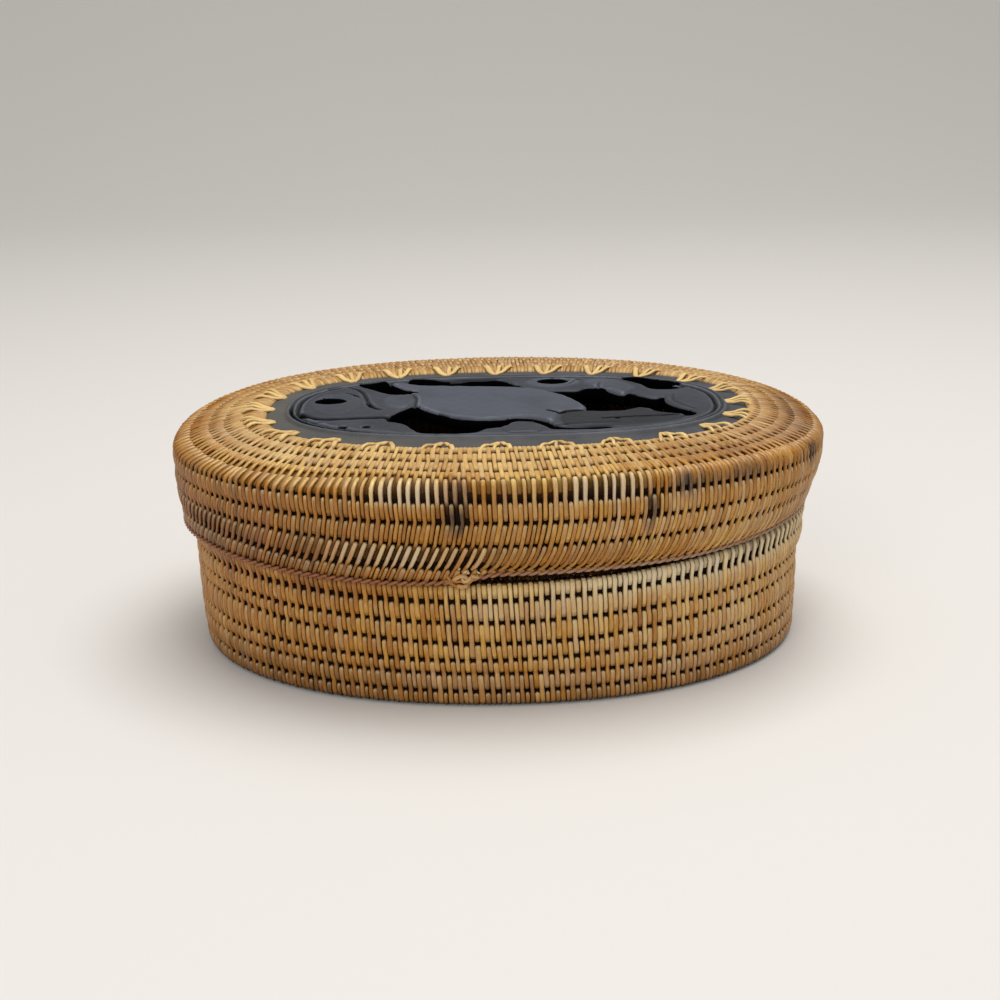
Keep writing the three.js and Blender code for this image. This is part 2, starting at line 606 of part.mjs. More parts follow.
/** The places of the lashings' holes, one every equal step round the flange. */
function lashingPlaces() {
  return evenPoints(panelOval(LASHING_REACH), LASHING_COUNT);
}

/** A drilled hole for one lashing's strands. */
function lashingHole({ place }) {
  const geometry = new THREE.CylinderGeometry(
    HOLE_RADIUS, HOLE_RADIUS, FLANGE_THICKNESS + 2 * CUT_OVERRUN, HOLE_SIDES);
  geometry.rotateX(Math.PI / 2);
  return asSolid(geometry.translate(place.x, place.y, FLANGE_TOP - FLANGE_THICKNESS / 2));
}

/** The carved panel: plate, double ridge, field and figure, pierced and drilled. */
function carvedPanel() {
  const plate = block(ovalPoints(panelOval(0)), PANEL_LOW, FLANGE_TOP);
  const fieldInset = RIDGE_WIDTH + CHANNEL_WIDTH;
  const field = block(
    ovalPoints(panelOval(RIDGE_INSET + fieldInset, RIDGE_SIDE_INSET + fieldInset)),
    PANEL_LOW + CARVED_LINE_DEPTH, FLANGE_TOP + FIGURE_HEIGHT);
  const forms = [
    ...[LEAF_SHARES, LIMB_SHARES, FOOT_SHARES].map(fieldOutline),
    ...[HUMP_SHARES, NECK_SHARES, HEAD_SHARES, RING_BOSS_SHARES].map(fieldEllipse),
  ].map(reliefForm);
  const raised = [field, ridge(), ...forms].reduce((whole, piece) => whole.add(piece), plate);
  const openings = [
    ...Object.values(OPENING_SHARES).map(fieldOutline),
    ...[EYE_SHARES, RING_HOLE_SHARES].map(fieldEllipse),
  ].map((outline) => block(outline, PANEL_LOW - CUT_OVERRUN, FLANGE_TOP + RIDGE_HEIGHT + CUT_OVERRUN));
  const cuts = [...openings, ...CARVED_LINE_SHARES.map(carvedLine), ...lashingPlaces().map(lashingHole)];
  return asGeometry(cuts.reduce((whole, cut) => whole.subtract(cut), raised));
}

/**
 * One lashing: a strand that comes from under the hoop, up through its hole in the flange,
 * and spreads in a fan over the flange and the hoop. Its section is a flat rectangle.
 */
function panelLashing({ place, outward }) {
  const end = LASHING_REACH + SEAT_GAP + HOOP_WIDTH * LASHING_END_SHARE;
  const overHoop = HOOP_TOP + SEAT_GAP;
  const overFlange = FLANGE_TOP + SEAT_GAP;
  const half = STRAND_THICKNESS / 2;
  const edge = LASHING_REACH;
  const spread = (reach) => THREE.MathUtils.lerp(STRAND_WIDTH, FAN_WIDTH, reach / edge);
  const stations = [
    { inner: [end, overHoop], outer: [end, overHoop + STRAND_THICKNESS], width: FAN_WIDTH },
    { inner: [edge, overHoop], outer: [edge, overHoop + STRAND_THICKNESS], width: FAN_WIDTH },
    {
      inner: [edge - FAN_STEP, overFlange],
      outer: [edge - FAN_STEP, overFlange + STRAND_THICKNESS],
      width: spread(edge - FAN_STEP),
    },
    { inner: [half, overFlange], outer: [-half, overFlange + STRAND_THICKNESS], width: STRAND_WIDTH },
    { inner: [half, UNDER_STRAND], outer: [-half, UNDER_STRAND - STRAND_THICKNESS], width: STRAND_WIDTH },
    { inner: [end, UNDER_STRAND], outer: [end, UNDER_STRAND - STRAND_THICKNESS], width: STRAND_WIDTH },
  ];
  const along = new THREE.Vector3(-outward.y, outward.x, 0);
  const corner = ([reach, height], across) => new THREE.Vector3(place.x, place.y, height)
    .addScaledVector(outward, reach).addScaledVector(along, across);
  const corners = stations.flatMap(({ inner, outer, width }) => [
    corner(inner, -width / 2), corner(inner, width / 2), corner(outer, width / 2), corner(outer, -width / 2),
  ]);
  const index = [0, 1, 2, 0, 2, 3];
  for (let station = 0; station < stations.length - 1; station += 1) {
    for (let side = 0; side < STRAND_SIDES; side += 1) {
      const a = station * STRAND_SIDES + side;
      const b = station * STRAND_SIDES + ((side + 1) % STRAND_SIDES);
      index.push(a, a + STRAND_SIDES, b, b, a + STRAND_SIDES, b + STRAND_SIDES);
    }
  }
  const last = (stations.length - 1) * STRAND_SIDES;
  index.push(last, last + 2, last + 1, last, last + 3, last + 2);
  const geometry = new THREE.BufferGeometry().setFromPoints(corners);
  geometry.setIndex(index);
  geometry.computeVertexNormals();
  return geometry;
}

// Materials
const pale = () => new THREE.MeshStandardMaterial({ color: 0xd2b276, roughness: 0.55, metalness: 0 });
const honey = () => new THREE.MeshStandardMaterial({ color: 0xa97f48, roughness: 0.5, metalness: 0 });
const tan = () => new THREE.MeshStandardMaterial({ color: 0xb3905c, roughness: 0.6, metalness: 0 });
const redBrown = () => new THREE.MeshStandardMaterial({ color: 0x8a5a3a, roughness: 0.55, metalness: 0 });
const slateWood = () => new THREE.MeshStandardMaterial({ color: 0x4a4e54, roughness: 0.7, metalness: 0 });

/** A named mesh. */
function piece(name, geometry, material) {
  const mesh = new THREE.Mesh(geometry, material);
  mesh.name = name;
  return mesh;
}

const base = new THREE.Group();
base.add(
  piece('base_floor', baseFloor(), tan()),
  piece('base_wall', baseWall(), tan()),
  piece('base_shoulder', baseShoulder(), tan()),
  piece('base_collar', baseCollar(), tan()),
);

const lid = new THREE.Group();
lid.add(
  piece('lid_rim_braid', lidRim(), redBrown()),
  piece('lid_rim_finish', lidRimFinish(), redBrown()),
  piece('lid_skirt', lidSkirt(), honey()),
  piece('lid_edge_coil', lidEdge(), honey()),
  piece('lid_top', lidTop(), pale()),
  piece('lid_hoop', lidHoop(), pale()),
  piece('carved_panel', carvedPanel(), slateWood()),
);
lashingPlaces().forEach((place, i) => {
  const number = String(i + 1).padStart(2, '0');
  lid.add(piece(`panel_lashing_${number}`, panelLashing(place), pale()));
});

const box = new THREE.Group();
box.add(base, lid);
export default box;
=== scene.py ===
"""Woven lidded box: coiled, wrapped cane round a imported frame, with a carved panel in its lid.

Shapes are worked out in millimetres, as whole numpy arrays, and become metres in make_piece.
The long axis runs along X, the front faces -Y and +Z is up.
"""

import logging
import math
from collections.abc import Callable
from dataclasses import dataclass, field
from enum import Enum

import bpy
import numpy as np
from mathutils import Matrix, Vector


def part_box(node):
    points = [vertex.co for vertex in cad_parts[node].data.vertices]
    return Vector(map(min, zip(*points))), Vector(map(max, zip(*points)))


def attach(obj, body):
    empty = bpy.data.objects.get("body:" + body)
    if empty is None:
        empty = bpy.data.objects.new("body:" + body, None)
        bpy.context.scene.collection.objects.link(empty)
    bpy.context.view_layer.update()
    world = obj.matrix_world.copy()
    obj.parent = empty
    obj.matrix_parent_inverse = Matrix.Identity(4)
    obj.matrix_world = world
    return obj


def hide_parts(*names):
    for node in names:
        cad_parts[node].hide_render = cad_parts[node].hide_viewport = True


MM = 0.001
LOG = logging.getLogger("woven_box")
Array = np.ndarray
SHARES = np.linspace(0, 1, 1441)

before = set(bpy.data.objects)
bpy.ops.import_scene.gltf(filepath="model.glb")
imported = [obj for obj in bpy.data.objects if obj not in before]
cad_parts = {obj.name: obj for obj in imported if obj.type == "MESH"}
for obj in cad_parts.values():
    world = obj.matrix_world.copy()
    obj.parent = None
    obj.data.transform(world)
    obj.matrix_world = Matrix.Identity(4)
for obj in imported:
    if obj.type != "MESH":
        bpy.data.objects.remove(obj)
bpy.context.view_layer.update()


class Body(Enum):
    """The two bodies that pieces ride on."""

    BASE = "base"
    LID = "lid"


class Slot(Enum):
    """The finishes that the record names."""

    BASE_CANE = "base_cane"
    SIDE_CANE = "side_cane"
    TOP_CANE = "top_cane"
    BRAID = "braid_cane"
    WOOD = "carved_wood"


# Meshes


@dataclass
class MeshData:
    """Points in millimetres, faces as loops and sizes, and values that vary over the points."""

    points: Array
    loops: Array
    sizes: Array
    uv: Array | None = None
    tone: Array | None = None

    @staticmethod
    def joined(parts: list["MeshData"]) -> "MeshData":
        """Several meshes as one, with the later ones' indices moved up."""
        starts = np.cumsum([0] + [len(part.points) for part in parts[:-1]])
        return MeshData(
            np.concatenate([part.points for part in parts]),
            np.concatenate([part.loops + start for part, start in zip(parts, starts)]),
            np.concatenate([part.sizes for part in parts]),
            np.concatenate([part.uv for part in parts]) if parts[0].uv is not None else None,
            np.concatenate([part.tone for part in parts]) if parts[0].tone is not None else None,
        )

    def outward(self) -> "MeshData":
        """The same mesh with its faces turned outwards: the summed volume must be positive."""
        first = np.cumsum(self.sizes) - self.sizes
        a, b, c = (self.points[self.loops[first + i]] for i in range(3))
        if np.einsum("ij,ij->", a, np.cross(b, c)) < 0:
            owner = np.repeat(np.arange(len(self.sizes)), self.sizes)
            place = np.arange(len(self.loops)) - first[owner]
            self.loops = self.loops[first[owner] + self.sizes[owner] - 1 - place]
        return self


def make_piece(
    name: str,
    data: MeshData,
    body: Body,
    slot: Slot,
    material: bpy.types.Material,
    stands_for: tuple[str, ...] = (),
) -> None:
    """Turns mesh data into a piece of the scene, at the origin.

    Args:
        name: The piece's name.
        data: Its mesh, in millimetres.
        body: The body that it rides on.
        slot: The record's slot that its finish comes from; not used.
        material: Its finish.
        stands_for: CAD nodes that it is shown in place of.
    """
    mesh = bpy.data.meshes.new(name)
    mesh.vertices.add(len(data.points))
    mesh.vertices.foreach_set("co", (data.points * MM).astype(np.float32).ravel())
    mesh.loops.add(len(data.loops))
    mesh.loops.foreach_set("vertex_index", data.loops.astype(np.int32))
    mesh.polygons.add(len(data.sizes))
    starts = np.cumsum(data.sizes) - data.sizes
    mesh.polygons.foreach_set("loop_start", starts.astype(np.int32))
    mesh.update(calc_edges=True)
    mesh.polygons.foreach_set("use_smooth", np.ones(len(data.sizes), dtype=bool))
    if data.uv is not None:
        layer = mesh.uv_layers.new(name="strip")
        layer.data.foreach_set("uv", data.uv[data.loops].astype(np.float32).ravel())
    if data.tone is not None:
        attribute = mesh.color_attributes.new("tone", "FLOAT_COLOR", "POINT")
        attribute.data.foreach_set("color", data.tone.astype(np.float32).ravel())
    mesh.update()
    piece = bpy.data.objects.new(name, mesh)
    bpy.context.scene.collection.objects.link(piece)
    mesh.materials.append(material)
    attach(piece, body.value)
    if stands_for:
        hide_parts(*stands_for)
    LOG.info("%s: %d points, %d faces", name, len(data.points), len(data.sizes))


def unit(vectors: Array) -> Array:
    """Vectors scaled to length one."""
    return vectors / np.maximum(np.linalg.norm(vectors, axis=-1, keepdims=True), 1e-9)


def grid_faces(rows: int, columns: int, wrap_rows: bool, wrap_columns: bool) -> tuple[Array, Array]:
    """Quads over a grid of points that may close on itself either way.

    Args:
        rows: Points one way.
        columns: Points the other way.
        wrap_rows: Whether the last row meets the first.
        wrap_columns: Whether the last column meets the first.

    Returns:
        The loops and the face sizes.
    """
    index = np.arange(rows * columns).reshape(rows, columns)
    index = np.pad(index, ((0, int(wrap_rows)), (0, int(wrap_columns))), mode="wrap")
    quads = np.stack([index[:-1, :-1], index[:-1, 1:], index[1:, 1:], index[1:, :-1]], -1)
    loops = quads.reshape(-1)
    return loops, np.full(len(loops) // 4, 4)


def running_share(x: Array, y: Array) -> tuple[Array, float]:
    """How far along a line its points lie, as shares of its length, and that length."""
    run = np.concatenate([[0], np.cumsum(np.hypot(np.diff(x), np.diff(y)))])
    return run / run[-1], float(run[-1])


def carried(at: Array, source: Array, target: Array) -> Array:
    """Places round a closed line read from one scale on another, with whole turns kept."""
    return np.interp(at % 1.0, source, target) + np.floor(at)


def signed_power(value: Array, exponent: float) -> Array:
    """A power of each value's size, with the value's own sign."""
    return np.sign(value) * np.abs(value) ** exponent


def soft_step(value: Array) -> Array:
    """From 0 to 1 without a kink: three squares less two cubes of the clipped value."""
    value = np.clip(value, 0, 1)
    return value * value * (3 - 2 * value)


def bell(distance: Array, width: Array | float, power: int = 2) -> Array:
    """1 at no distance, and less with the exponential of a power of distance over width."""
    return np.exp(-((distance / width) ** power))


# Ovals


@dataclass
class OvalRings:
    """A family of ovals, one inside another, that turns from an outer outline into an inner one.

    Each is a superellipse: x is the half length times the signed power of a cosine, and y the
    same of a sine. Shares of the way round run anticlockwise from the middle of the front. They
    are even on one of the ovals, and lines of equal share cross all the others squarely.
    """

    half_length: float
    half_width: float
    roundness: float
    inner_inset: float = 1.0
    inner_half_length: float | None = None
    inner_roundness: float | None = None
    inner_shift: float = 0.0
    lowest: float = -3.0
    even_inset: float = 1.0
    rings: int = 48
    steps: int = 2880
    moves: int = 4
    nudge: float = 0.0004
    table: Array = field(init=False)
    insets: Array = field(init=False)

    def __post_init__(self) -> None:
        """Fills a table of points, by oval and share.

        From one oval to the next, each point goes to the nearest place: its share of the next
        oval's length is moved on by what is left along the tangent, a few times over.
        """
        reach = max(self.inner_inset + 3, 16)
        self.insets = np.linspace(self.lowest, reach, self.rings)
        turn = np.linspace(0, 2 * np.pi, 8 * self.steps + 1) - np.pi / 2
        first = int(np.argmin(np.abs(self.insets - self.even_inset)))
        table = np.empty((self.rings, 2, self.steps + 1))
        for order in (range(first, self.rings), range(first - 1, -1, -1)):
            share = np.arange(self.steps) / self.steps
            spot = None if order.start == first else table[first, :, :-1]
            for ring in order:
                line = self.outline(turn, self.insets[ring])
                run, length = running_share(*line)
                for _ in range(0 if spot is None else self.moves):
                    here, ahead, behind = (
                        self.spots(share + step, run, line) for step in (0.0, self.nudge, -self.nudge))
                    tangent = unit((ahead - behind).T).T
                    share = share + ((spot - here) * tangent).sum(0) / length
                spot = self.spots(share, run, line)
                table[ring, :, :-1] = spot
                table[ring, :, -1] = spot[:, 0]
        self.table = table

    @staticmethod
    def spots(share: Array, run: Array, line: tuple[Array, Array]) -> Array:
        """Points of a closed line at shares of its length, given its points' own shares."""
        return np.stack([np.interp(share % 1.0, run, values) for values in line])

    def outline(self, turn: Array, inset: float) -> tuple[Array, Array]:
        """Points of the oval at an inset.

        Args:
            turn: Angles, which needn't be even.
            inset: How far the oval lies inside the outermost one.

        Returns:
            Their x and y.
        """
        share = max(inset, 0) / self.inner_inset
        length, roundness = self.half_length - inset, self.roundness
        if self.inner_half_length is not None:
            length += (self.inner_half_length - self.half_length + self.inner_inset) * share
            roundness += (self.inner_roundness - self.roundness) * share
        x = length * signed_power(np.cos(turn), roundness) + self.inner_shift * share
        return x, (self.half_width - inset) * signed_power(np.sin(turn), roundness)

    def point(self, share: Array, inset: Array) -> tuple[Array, Array]:
        """The points at shares of the way round and at insets, between the table's entries.

        Args:
            share: Shares of the way round.
            inset: Insets from the outermost oval, in millimetres.

        Returns:
            Their x and y.
        """
        share, inset = np.broadcast_arrays(share, inset)
        along = (share % 1.0) * self.steps
        step = np.minimum(along.astype(int), self.steps - 1)
        part = along - step
        level = (inset - self.insets[0]) / (self.insets[1] - self.insets[0])
        level = np.clip(level, 0, self.rings - 1.001)
        ring = level.astype(int)
        rise = level - ring
        found = []
        for axis in range(2):
            values = self.table[:, axis]
            low = values[ring, step] * (1 - part) + values[ring, step + 1] * part
            high = values[ring + 1, step] * (1 - part) + values[ring + 1, step + 1] * part
            found.append(low * (1 - rise) + high * rise)
        return found[0], found[1]


@dataclass(eq=False)
class Around:
    """A value that changes smoothly once round the box, through knots of share and value."""

    knots: dict[float, float]
    smoothing: float = 0.012
    steps: int = 720
    table: Array = field(init=False)

    def __post_init__(self) -> None:
        """Straight lines between the knots, then an average over a short way."""
        places, values = np.array(sorted(self.knots.items())).T
        grid = np.arange(self.steps) / self.steps
        line = np.interp(grid, places, values, period=1.0)
        reach = max(int(self.smoothing * self.steps), 1)
        spread = np.arange(-2 * reach, 2 * reach + 1)
        weights = np.exp(-0.5 * (spread / reach) ** 2)
        self.table = sum(w * np.roll(line, s) for w, s in zip(weights / weights.sum(), spread))

    def at(self, share: Array) -> Array:
        """The value at shares of the way round, on straight lines between the table's."""
        along = (np.asarray(share) % 1.0) * self.steps
        step = along.astype(int) % self.steps
        part = along - np.floor(along)
        return self.table[step] * (1 - part) + self.table[(step + 1) % self.steps] * part


def steady(value: float) -> Around:
    """The same value all the way round."""
    return Around({0: value})


# Wrapped rows


@dataclass
class Edge:
    """The valley between two coil rows, and the strips that cross it and end in it.

    Attributes:
        inset: How far in it lies, round the box.
        height: How high it lies.
        count: How many strips cross it.
        lean: How far strips lean on their way to it, as a share of their pitch.
        hole: How tall the holes along it are.
        bridge: How far crossing strips stand off it.
        sink: How deep the strips that end in it lie between their neighbours.
        bend: The power by which strips lean later on their way down; 1 is straight.
        wide: The width of crossing strips, times the usual.
        flat: Their thickness, times the usual.
    """

    inset: Around
    height: "Around | TopHeight"
    count: int
    lean: float = 0.1
    hole: Around = steady(0.8)
    bridge: float = 0.45
    sink: Around = steady(0)
    bend: Around = steady(1)
    wide: float = 1.0
    flat: float = 1.0


@dataclass
class Row:
    """How one coil row stands out between its two edges, as a cubic curve with two handles.

    The handles lie part of the way along the chord and stand off it by four thirds of the
    bulge. Where the row turns a corner, both are drawn towards that corner instead.
    """

    bulge: float
    spread: float = 0.24
    start_width: float = 1.0
    end_width: float = 1.0
    corner_inset: Around | None = None
    corner_height: Around | None = None
    corner_pull: tuple[float, float] = (0.75, 0.9)
    swell: Around = steady(0)

    def handles(self, start: Array, end: Array, share: Array) -> tuple[Array, Array]:
        """The two handles between edge points that are (inset, height) pairs.

        Args:
            start: Points of the upper or inner edge.
            end: Points of the lower or outer edge.
            share: Their shares of the way round.

        Returns:
            The handle near the start and the one near the end.
        """
        chord = end - start
        if self.corner_inset is not None:
            corner = np.stack([self.corner_inset.at(share), self.corner_height.at(share)], -1)
            first, second = self.corner_pull
            return start + (corner - start) * first, end + (corner - end) * second
        stands = (self.bulge + self.swell.at(share))[..., None]
        out = unit(np.stack([chord[..., 1], -chord[..., 0]], -1)) * stands * 4 / 3
        return start + chord * self.spread + out, end - chord * self.spread + out


@dataclass
class Band:
    """Coil rows one below another, wrapped with strips that each cover two of them.

    A strip starts with a rounded cap under a hole, crosses the next valley between two holes,
    and dives into a hole of the valley after that.

    Attributes:
        rings: The ovals that the rows follow.
        edges: The valleys between the rows, and the band's two ends.
        rows: The rows between them.
        seed: For the strips' small differences.
        shift: How far points move along X, by their height.
        rise: How thick strips are.
        filling: How wide they are, over the distance between them.
        jitter: How far they stray, as a share of that distance.
        core_depth: How far under the surface the bundle lies.
        evenings: How often strips are moved between their neighbours where some are added.
        twin_step: How far two strips from one hole start apart, as a share of the distance.
        twin_breadth: How much wider those are.
    """

    rings: OvalRings
    edges: list[Edge]
    rows: list[Row]
    seed: int
    shift: Callable[[Array], Array] | None = None
    rise: float = 0.42
    filling: float = 1.08
    jitter: float = 0.08
    core_depth: float = 0.5
    evenings: int = 10
    twin_step: float = 0.28
    twin_breadth: float = 1.3

    def place(self, share: Array, level: Array) -> Array:
        """Points of the rows' own surface.

        The valley edges are joined by cubic curves, and the curve's inset and height are carried
        round the oval.

        Args:
            share: Shares of the way round.
            level: Rows from the first edge, with their fractions.

        Returns:
            Points, one for each pair.
        """
        share, level = np.broadcast_arrays(share, level)
        shape = share.shape
        share, level = share.reshape(-1), level.reshape(-1)
        row_of = np.clip(np.floor(level).astype(int), 0, len(self.rows) - 1)
        part = (level - row_of)[:, None]
        found = np.empty((len(share), 2))
        for number, row in enumerate(self.rows):
            here = row_of == number
            if not here.any():
                continue
            way, t = share[here], part[here]
            start, end = (
                np.stack([edge.inset.at(way), edge.height.at(way)], -1)
                for edge in self.edges[number : number + 2])
            first, second = row.handles(start, end, way)
            found[here] = (
                start * (1 - t) ** 3 + first * 3 * t * (1 - t) ** 2
                + second * 3 * t**2 * (1 - t) + end * t**3)
        inset, height = found[:, 0], found[:, 1]
        x, y = self.rings.point(share, inset)
        if self.shift is not None:
            x = x + self.shift(height)
        return np.stack([x, y, height], -1).reshape(shape + (3,))

    def outward(self, share: Array, level: Array) -> Array:
        """Directions straight out of the surface: across the steps along it and down it.

        Args:
            share: Shares of the way round.
            level: Rows from the first edge, with their fractions.

        Returns:
            A unit vector for each pair.
        """
        step, down = 0.0004, 0.02
        along = self.place(share + step, level) - self.place(share - step, level)
        middle = np.clip(level, down, len(self.rows) - down)
        row = np.floor(middle)
        low = np.clip(middle, row + down, row + 1 - down)
        across = self.place(share, low + down) - self.place(share, low - down)
        return unit(np.cross(across, along))

    def lengths(self, edge: Edge) -> Array:
        """The shares of an edge's own length at which even shares of the way round lie."""
        x, y = self.rings.point(SHARES, edge.inset.at(SHARES))
        return running_share(x, y)[0]

    def columns(self) -> list[tuple[Array, Array, Array, Array]]:
        """Where strips start, cross and end, edge by edge.

        The strips that cross an edge start from the holes of the edge before. Where the rows get
        longer, some holes start two strips, and the neighbours move apart a little, until the
        strips of each row lie about equally far apart.

        Returns:
            For each edge, the starts, crossings and ends as shares of the way round, and how
            wide each strip is: those that share a hole are wider, and close the gap between them.
        """
        chance = np.random.default_rng(self.seed)
        count = self.edges[0].count
        even = (np.arange(count) + chance.uniform(-1, 1, count) * self.jitter) / count
        crossing = carried(even, self.lengths(self.edges[0]), SHARES)
        found = []
        starts = crossing - 0.5 * self.edges[0].lean / count
        breadths = np.ones(count)
        for after in self.edges[1:]:
            holes = 0.5 * (crossing + np.append(crossing[1:], crossing[0] + 1))
            doubled = np.zeros(len(holes), dtype=int)
            extra = after.count - len(holes)
            length = self.lengths(after)
            if extra > 0:
                spots = carried(holes, SHARES, length)
                surplus = np.maximum(np.diff(np.append(spots, spots[0] + 1)) * after.count - 1, 0)
                surplus = np.cumsum(surplus) / surplus.sum() * extra
                steps = np.floor(surplus + 0.5) - np.floor(np.append(0.0, surplus[:-1]) + 0.5)
                doubled = np.minimum(steps, 1).astype(int)
            parents = np.repeat(np.arange(len(holes)), 1 + doubled)
            twin = np.concatenate([[False], parents[1:] == parents[:-1]])
            lone = np.append(twin[1:], False)
            next_starts = holes[parents] + np.where(twin, self.twin_step, 0.0) / after.count
            next_starts = next_starts - np.where(lone, self.twin_step, 0.0) / after.count
            placed = carried(next_starts, SHARES, length) + after.lean / after.count
            for _ in range(self.evenings if extra > 0 else 0):
                before = np.concatenate([[placed[-1] - 1], placed[:-1]])
                behind = np.append(placed[1:], placed[0] + 1)
                placed = placed + 0.5 * (0.5 * (before + behind) - placed)
            placed = placed + chance.uniform(-1, 1, len(placed)) * self.jitter / after.count
            placed = carried(placed, length, SHARES)
            first_child = np.searchsorted(parents, np.arange(len(holes)))
            before = np.where(first_child == 0, placed[-1] - 1, placed[first_child - 1])
            found.append((starts, crossing, 0.5 * (before + placed[first_child]), breadths))
            starts, crossing = next_starts, placed
            breadths = np.where(twin | lone, self.twin_breadth, 1.0)
        last = self.edges[-1]
        found.append((starts, crossing, crossing + last.lean / last.count, breadths))
        return found

    def strips(self, tones: "ToneMap", first: int = 0, last: int | None = None) -> MeshData:
        """The wrapping strips, each a closed body with a half-round section.

        Args:
            tones: Where the strips' colours come from.
            first: The first edge whose crossing strips are made.
            last: The edge after the last one.

        Returns:
            One mesh of all these strips.
        """
        columns = self.columns()
        parts = [
            self.edge_strips(index, *columns[index], tones)
            for index in range(first, len(self.edges) if last is None else last)
        ]
        return MeshData.joined(parts).outward()

    def edge_strips(
        self, index: int, start: Array, cross: Array, end: Array, breadth: Array, tones: "ToneMap"
    ) -> MeshData:
        """The strips that cross one edge.

        Each has stations from its cap up to the valley, one on it, and others down to its dive.
        Every station has a level, a way round, a depth between the neighbours, a lift off the
        surface, a width and a thickness.

        Args:
            index: The edge.
            start: Where the strips start round the box.
            cross: Where they cross the edge.
            end: Where they end.
            breadth: How wide they are, times the usual.
            tones: Where their colours come from.

        Returns:
            Their mesh.
        """
        chance = np.random.default_rng([self.seed, index])
        count, final, edge = len(cross), len(self.edges) - 1, self.edges[index]
        ones, nothing = np.ones(count), np.zeros(count)
        above = self.row_length(index - 1, cross) if index > 0 else ones
        below = self.row_length(index, cross) if index < final else ones
        hole = self.edges[index - 1].hole.at(start) if index > 0 else nothing
        cap = np.clip(np.minimum(hole, 0.95) / above * chance.uniform(0.8, 1.25, count), 0, 0.45)
        after = self.edges[index + 1].hole.at(end) if index < final else nothing
        sink = self.edges[index + 1].sink.at(end) if index < final else nothing
        dive = 0.45 * np.minimum(after, 1.0) + 0.95 * np.maximum(after - 1.0, 0)
        stop = np.clip(dive / below * chance.uniform(0.85, 1.1, count), 0, 0.78)
        sunk = sink + 0.3 * np.clip((after - 1.2) / 2.5, 0, 1)
        stations: list[tuple[Array | float, ...]] = []
        if index > 0:
            wider = self.rows[index - 1].start_width
            parts = (cap, cap + 0.45 / above, 0.3 + 0.2 * cap, 0.6 * ones, 0.84 * ones)
            for part, lift, wide, tall in zip(
                parts, (-0.45, -0.02, 0.05, 0.06, 0.35 * edge.bridge), (0.5, 0.97, 1.0, 1.0, 0.94),
                (0.35, 0.95, 1, 1, 1),
            ):
                way = start + (cross - start) * part ** edge.bend.at(start)
                stations.append((index - 1 + part, way, 0, lift, wide * wider, tall))
        stations.append((index, cross, 0, edge.bridge, 0.86, 1))
        if index < final:
            bend = self.edges[index + 1].bend.at(end)
            wider = self.rows[index].end_width
            last = 1 - np.minimum(0.1, 0.6 / below)
            for part, lift, wide, tall, held in zip(
                (0.16, 0.42, 0.7, last, 1.0), (0.35 * edge.bridge, 0.05, 0.03, 0.0, -0.75),
                (0.93, 1.0, 1.0, 0.96, 0.8), (1, 1, 1, 1, 0.6), (1, 1, 1, 1, 0),
            ):
                part = part * (1 - stop)
                deep = np.minimum(1, part / 0.3) ** 0.6
                way = cross + (end - cross) * part**bend
                lift = lift - sunk * deep * held
                stations.append((index + part, way, sink * deep, lift, wide * wider, tall))
        level, way, depth, lift, wide, tall = (
            np.stack([value * ones for value in values], 1) for values in zip(*stations))
        level = np.clip(level, 0, final)
        wide, tall = wide * edge.wide, tall * edge.flat
        normals = self.outward(way, level)
        gap = (np.append(cross[1:], cross[0] + 1) - np.append(cross[-1] - 1, cross[:-1])) / 2
        inset = edge.inset.at(cross)
        x0, y0 = self.rings.point(cross - gap / 2, inset)
        x1, y1 = self.rings.point(cross + gap / 2, inset)
        pitch = np.hypot(x1 - x0, y1 - y0)
        width = 0.5 * pitch * self.filling * breadth * chance.uniform(0.84, 1.12, count)
        lift = lift + chance.uniform(-0.06, 0.06, count)[:, None]
        base = self.place(way, level) + normals * lift[..., None]
        data = strip_bodies(base, normals, width[:, None] * wide, self.rise * tall, chance)
        data.tone = tones.colours(cross, level, way, index, chance, data.section, depth)
        return data.mesh()

    def row_length(self, row: int, share: Array) -> Array:
        """How long a row's curve is at each share, in millimetres: the sum of short chords."""
        steps = np.linspace(0, 1, 9)
        points = self.place(share[:, None], row + steps[None, :] * 0.9999)
        return np.linalg.norm(np.diff(points, axis=1), axis=-1).sum(1)

    def core(
        self, low: float, dust_and_painted_light: tuple[tuple[float, float], ...] = ((0, 0),), steps: int = 360,
        row_steps: int = 8,
    ) -> MeshData:
        """The dark bundle inside the strips: a closed ring a little under their surface.

        Args:
            low: How far in the ring's inner side lies, from its own surface.
            dust_and_painted_light: Pairs of level and how much paler the bundle is painted there, as
                painted light.
            steps: Points once round.
            row_steps: Points across each row.

        Returns:
            Its mesh.
        """
        share = np.arange(steps) / steps
        level = np.linspace(0, len(self.rows), len(self.rows) * row_steps + 1)
        places, levels = np.meshgrid(share, level)
        skin = self.place(places, levels)
        out = self.outward(places, levels)
        outer = skin - out * self.core_depth
        inner = skin - out * (self.core_depth + low)
        points = np.concatenate([outer, inner[::-1]])
        loops, sizes = grid_faces(len(points), steps, True, True)
        flat = points.reshape(-1, 3)
        tone = np.zeros((len(flat), 4))
        levels = np.concatenate([levels, levels[::-1]]).reshape(-1)
        tone[:, 0] = np.interp(levels, *np.array(dust_and_painted_light).T)
        return MeshData(flat, loops, sizes, np.zeros((len(flat), 2)), tone).outward()


SECTION_ACROSS = np.array([-1.0, -0.62, 0.0, 0.62, 1.0])
SECTION_UP = np.array([-0.7, 0.72, 1.0, 0.72, -0.7])


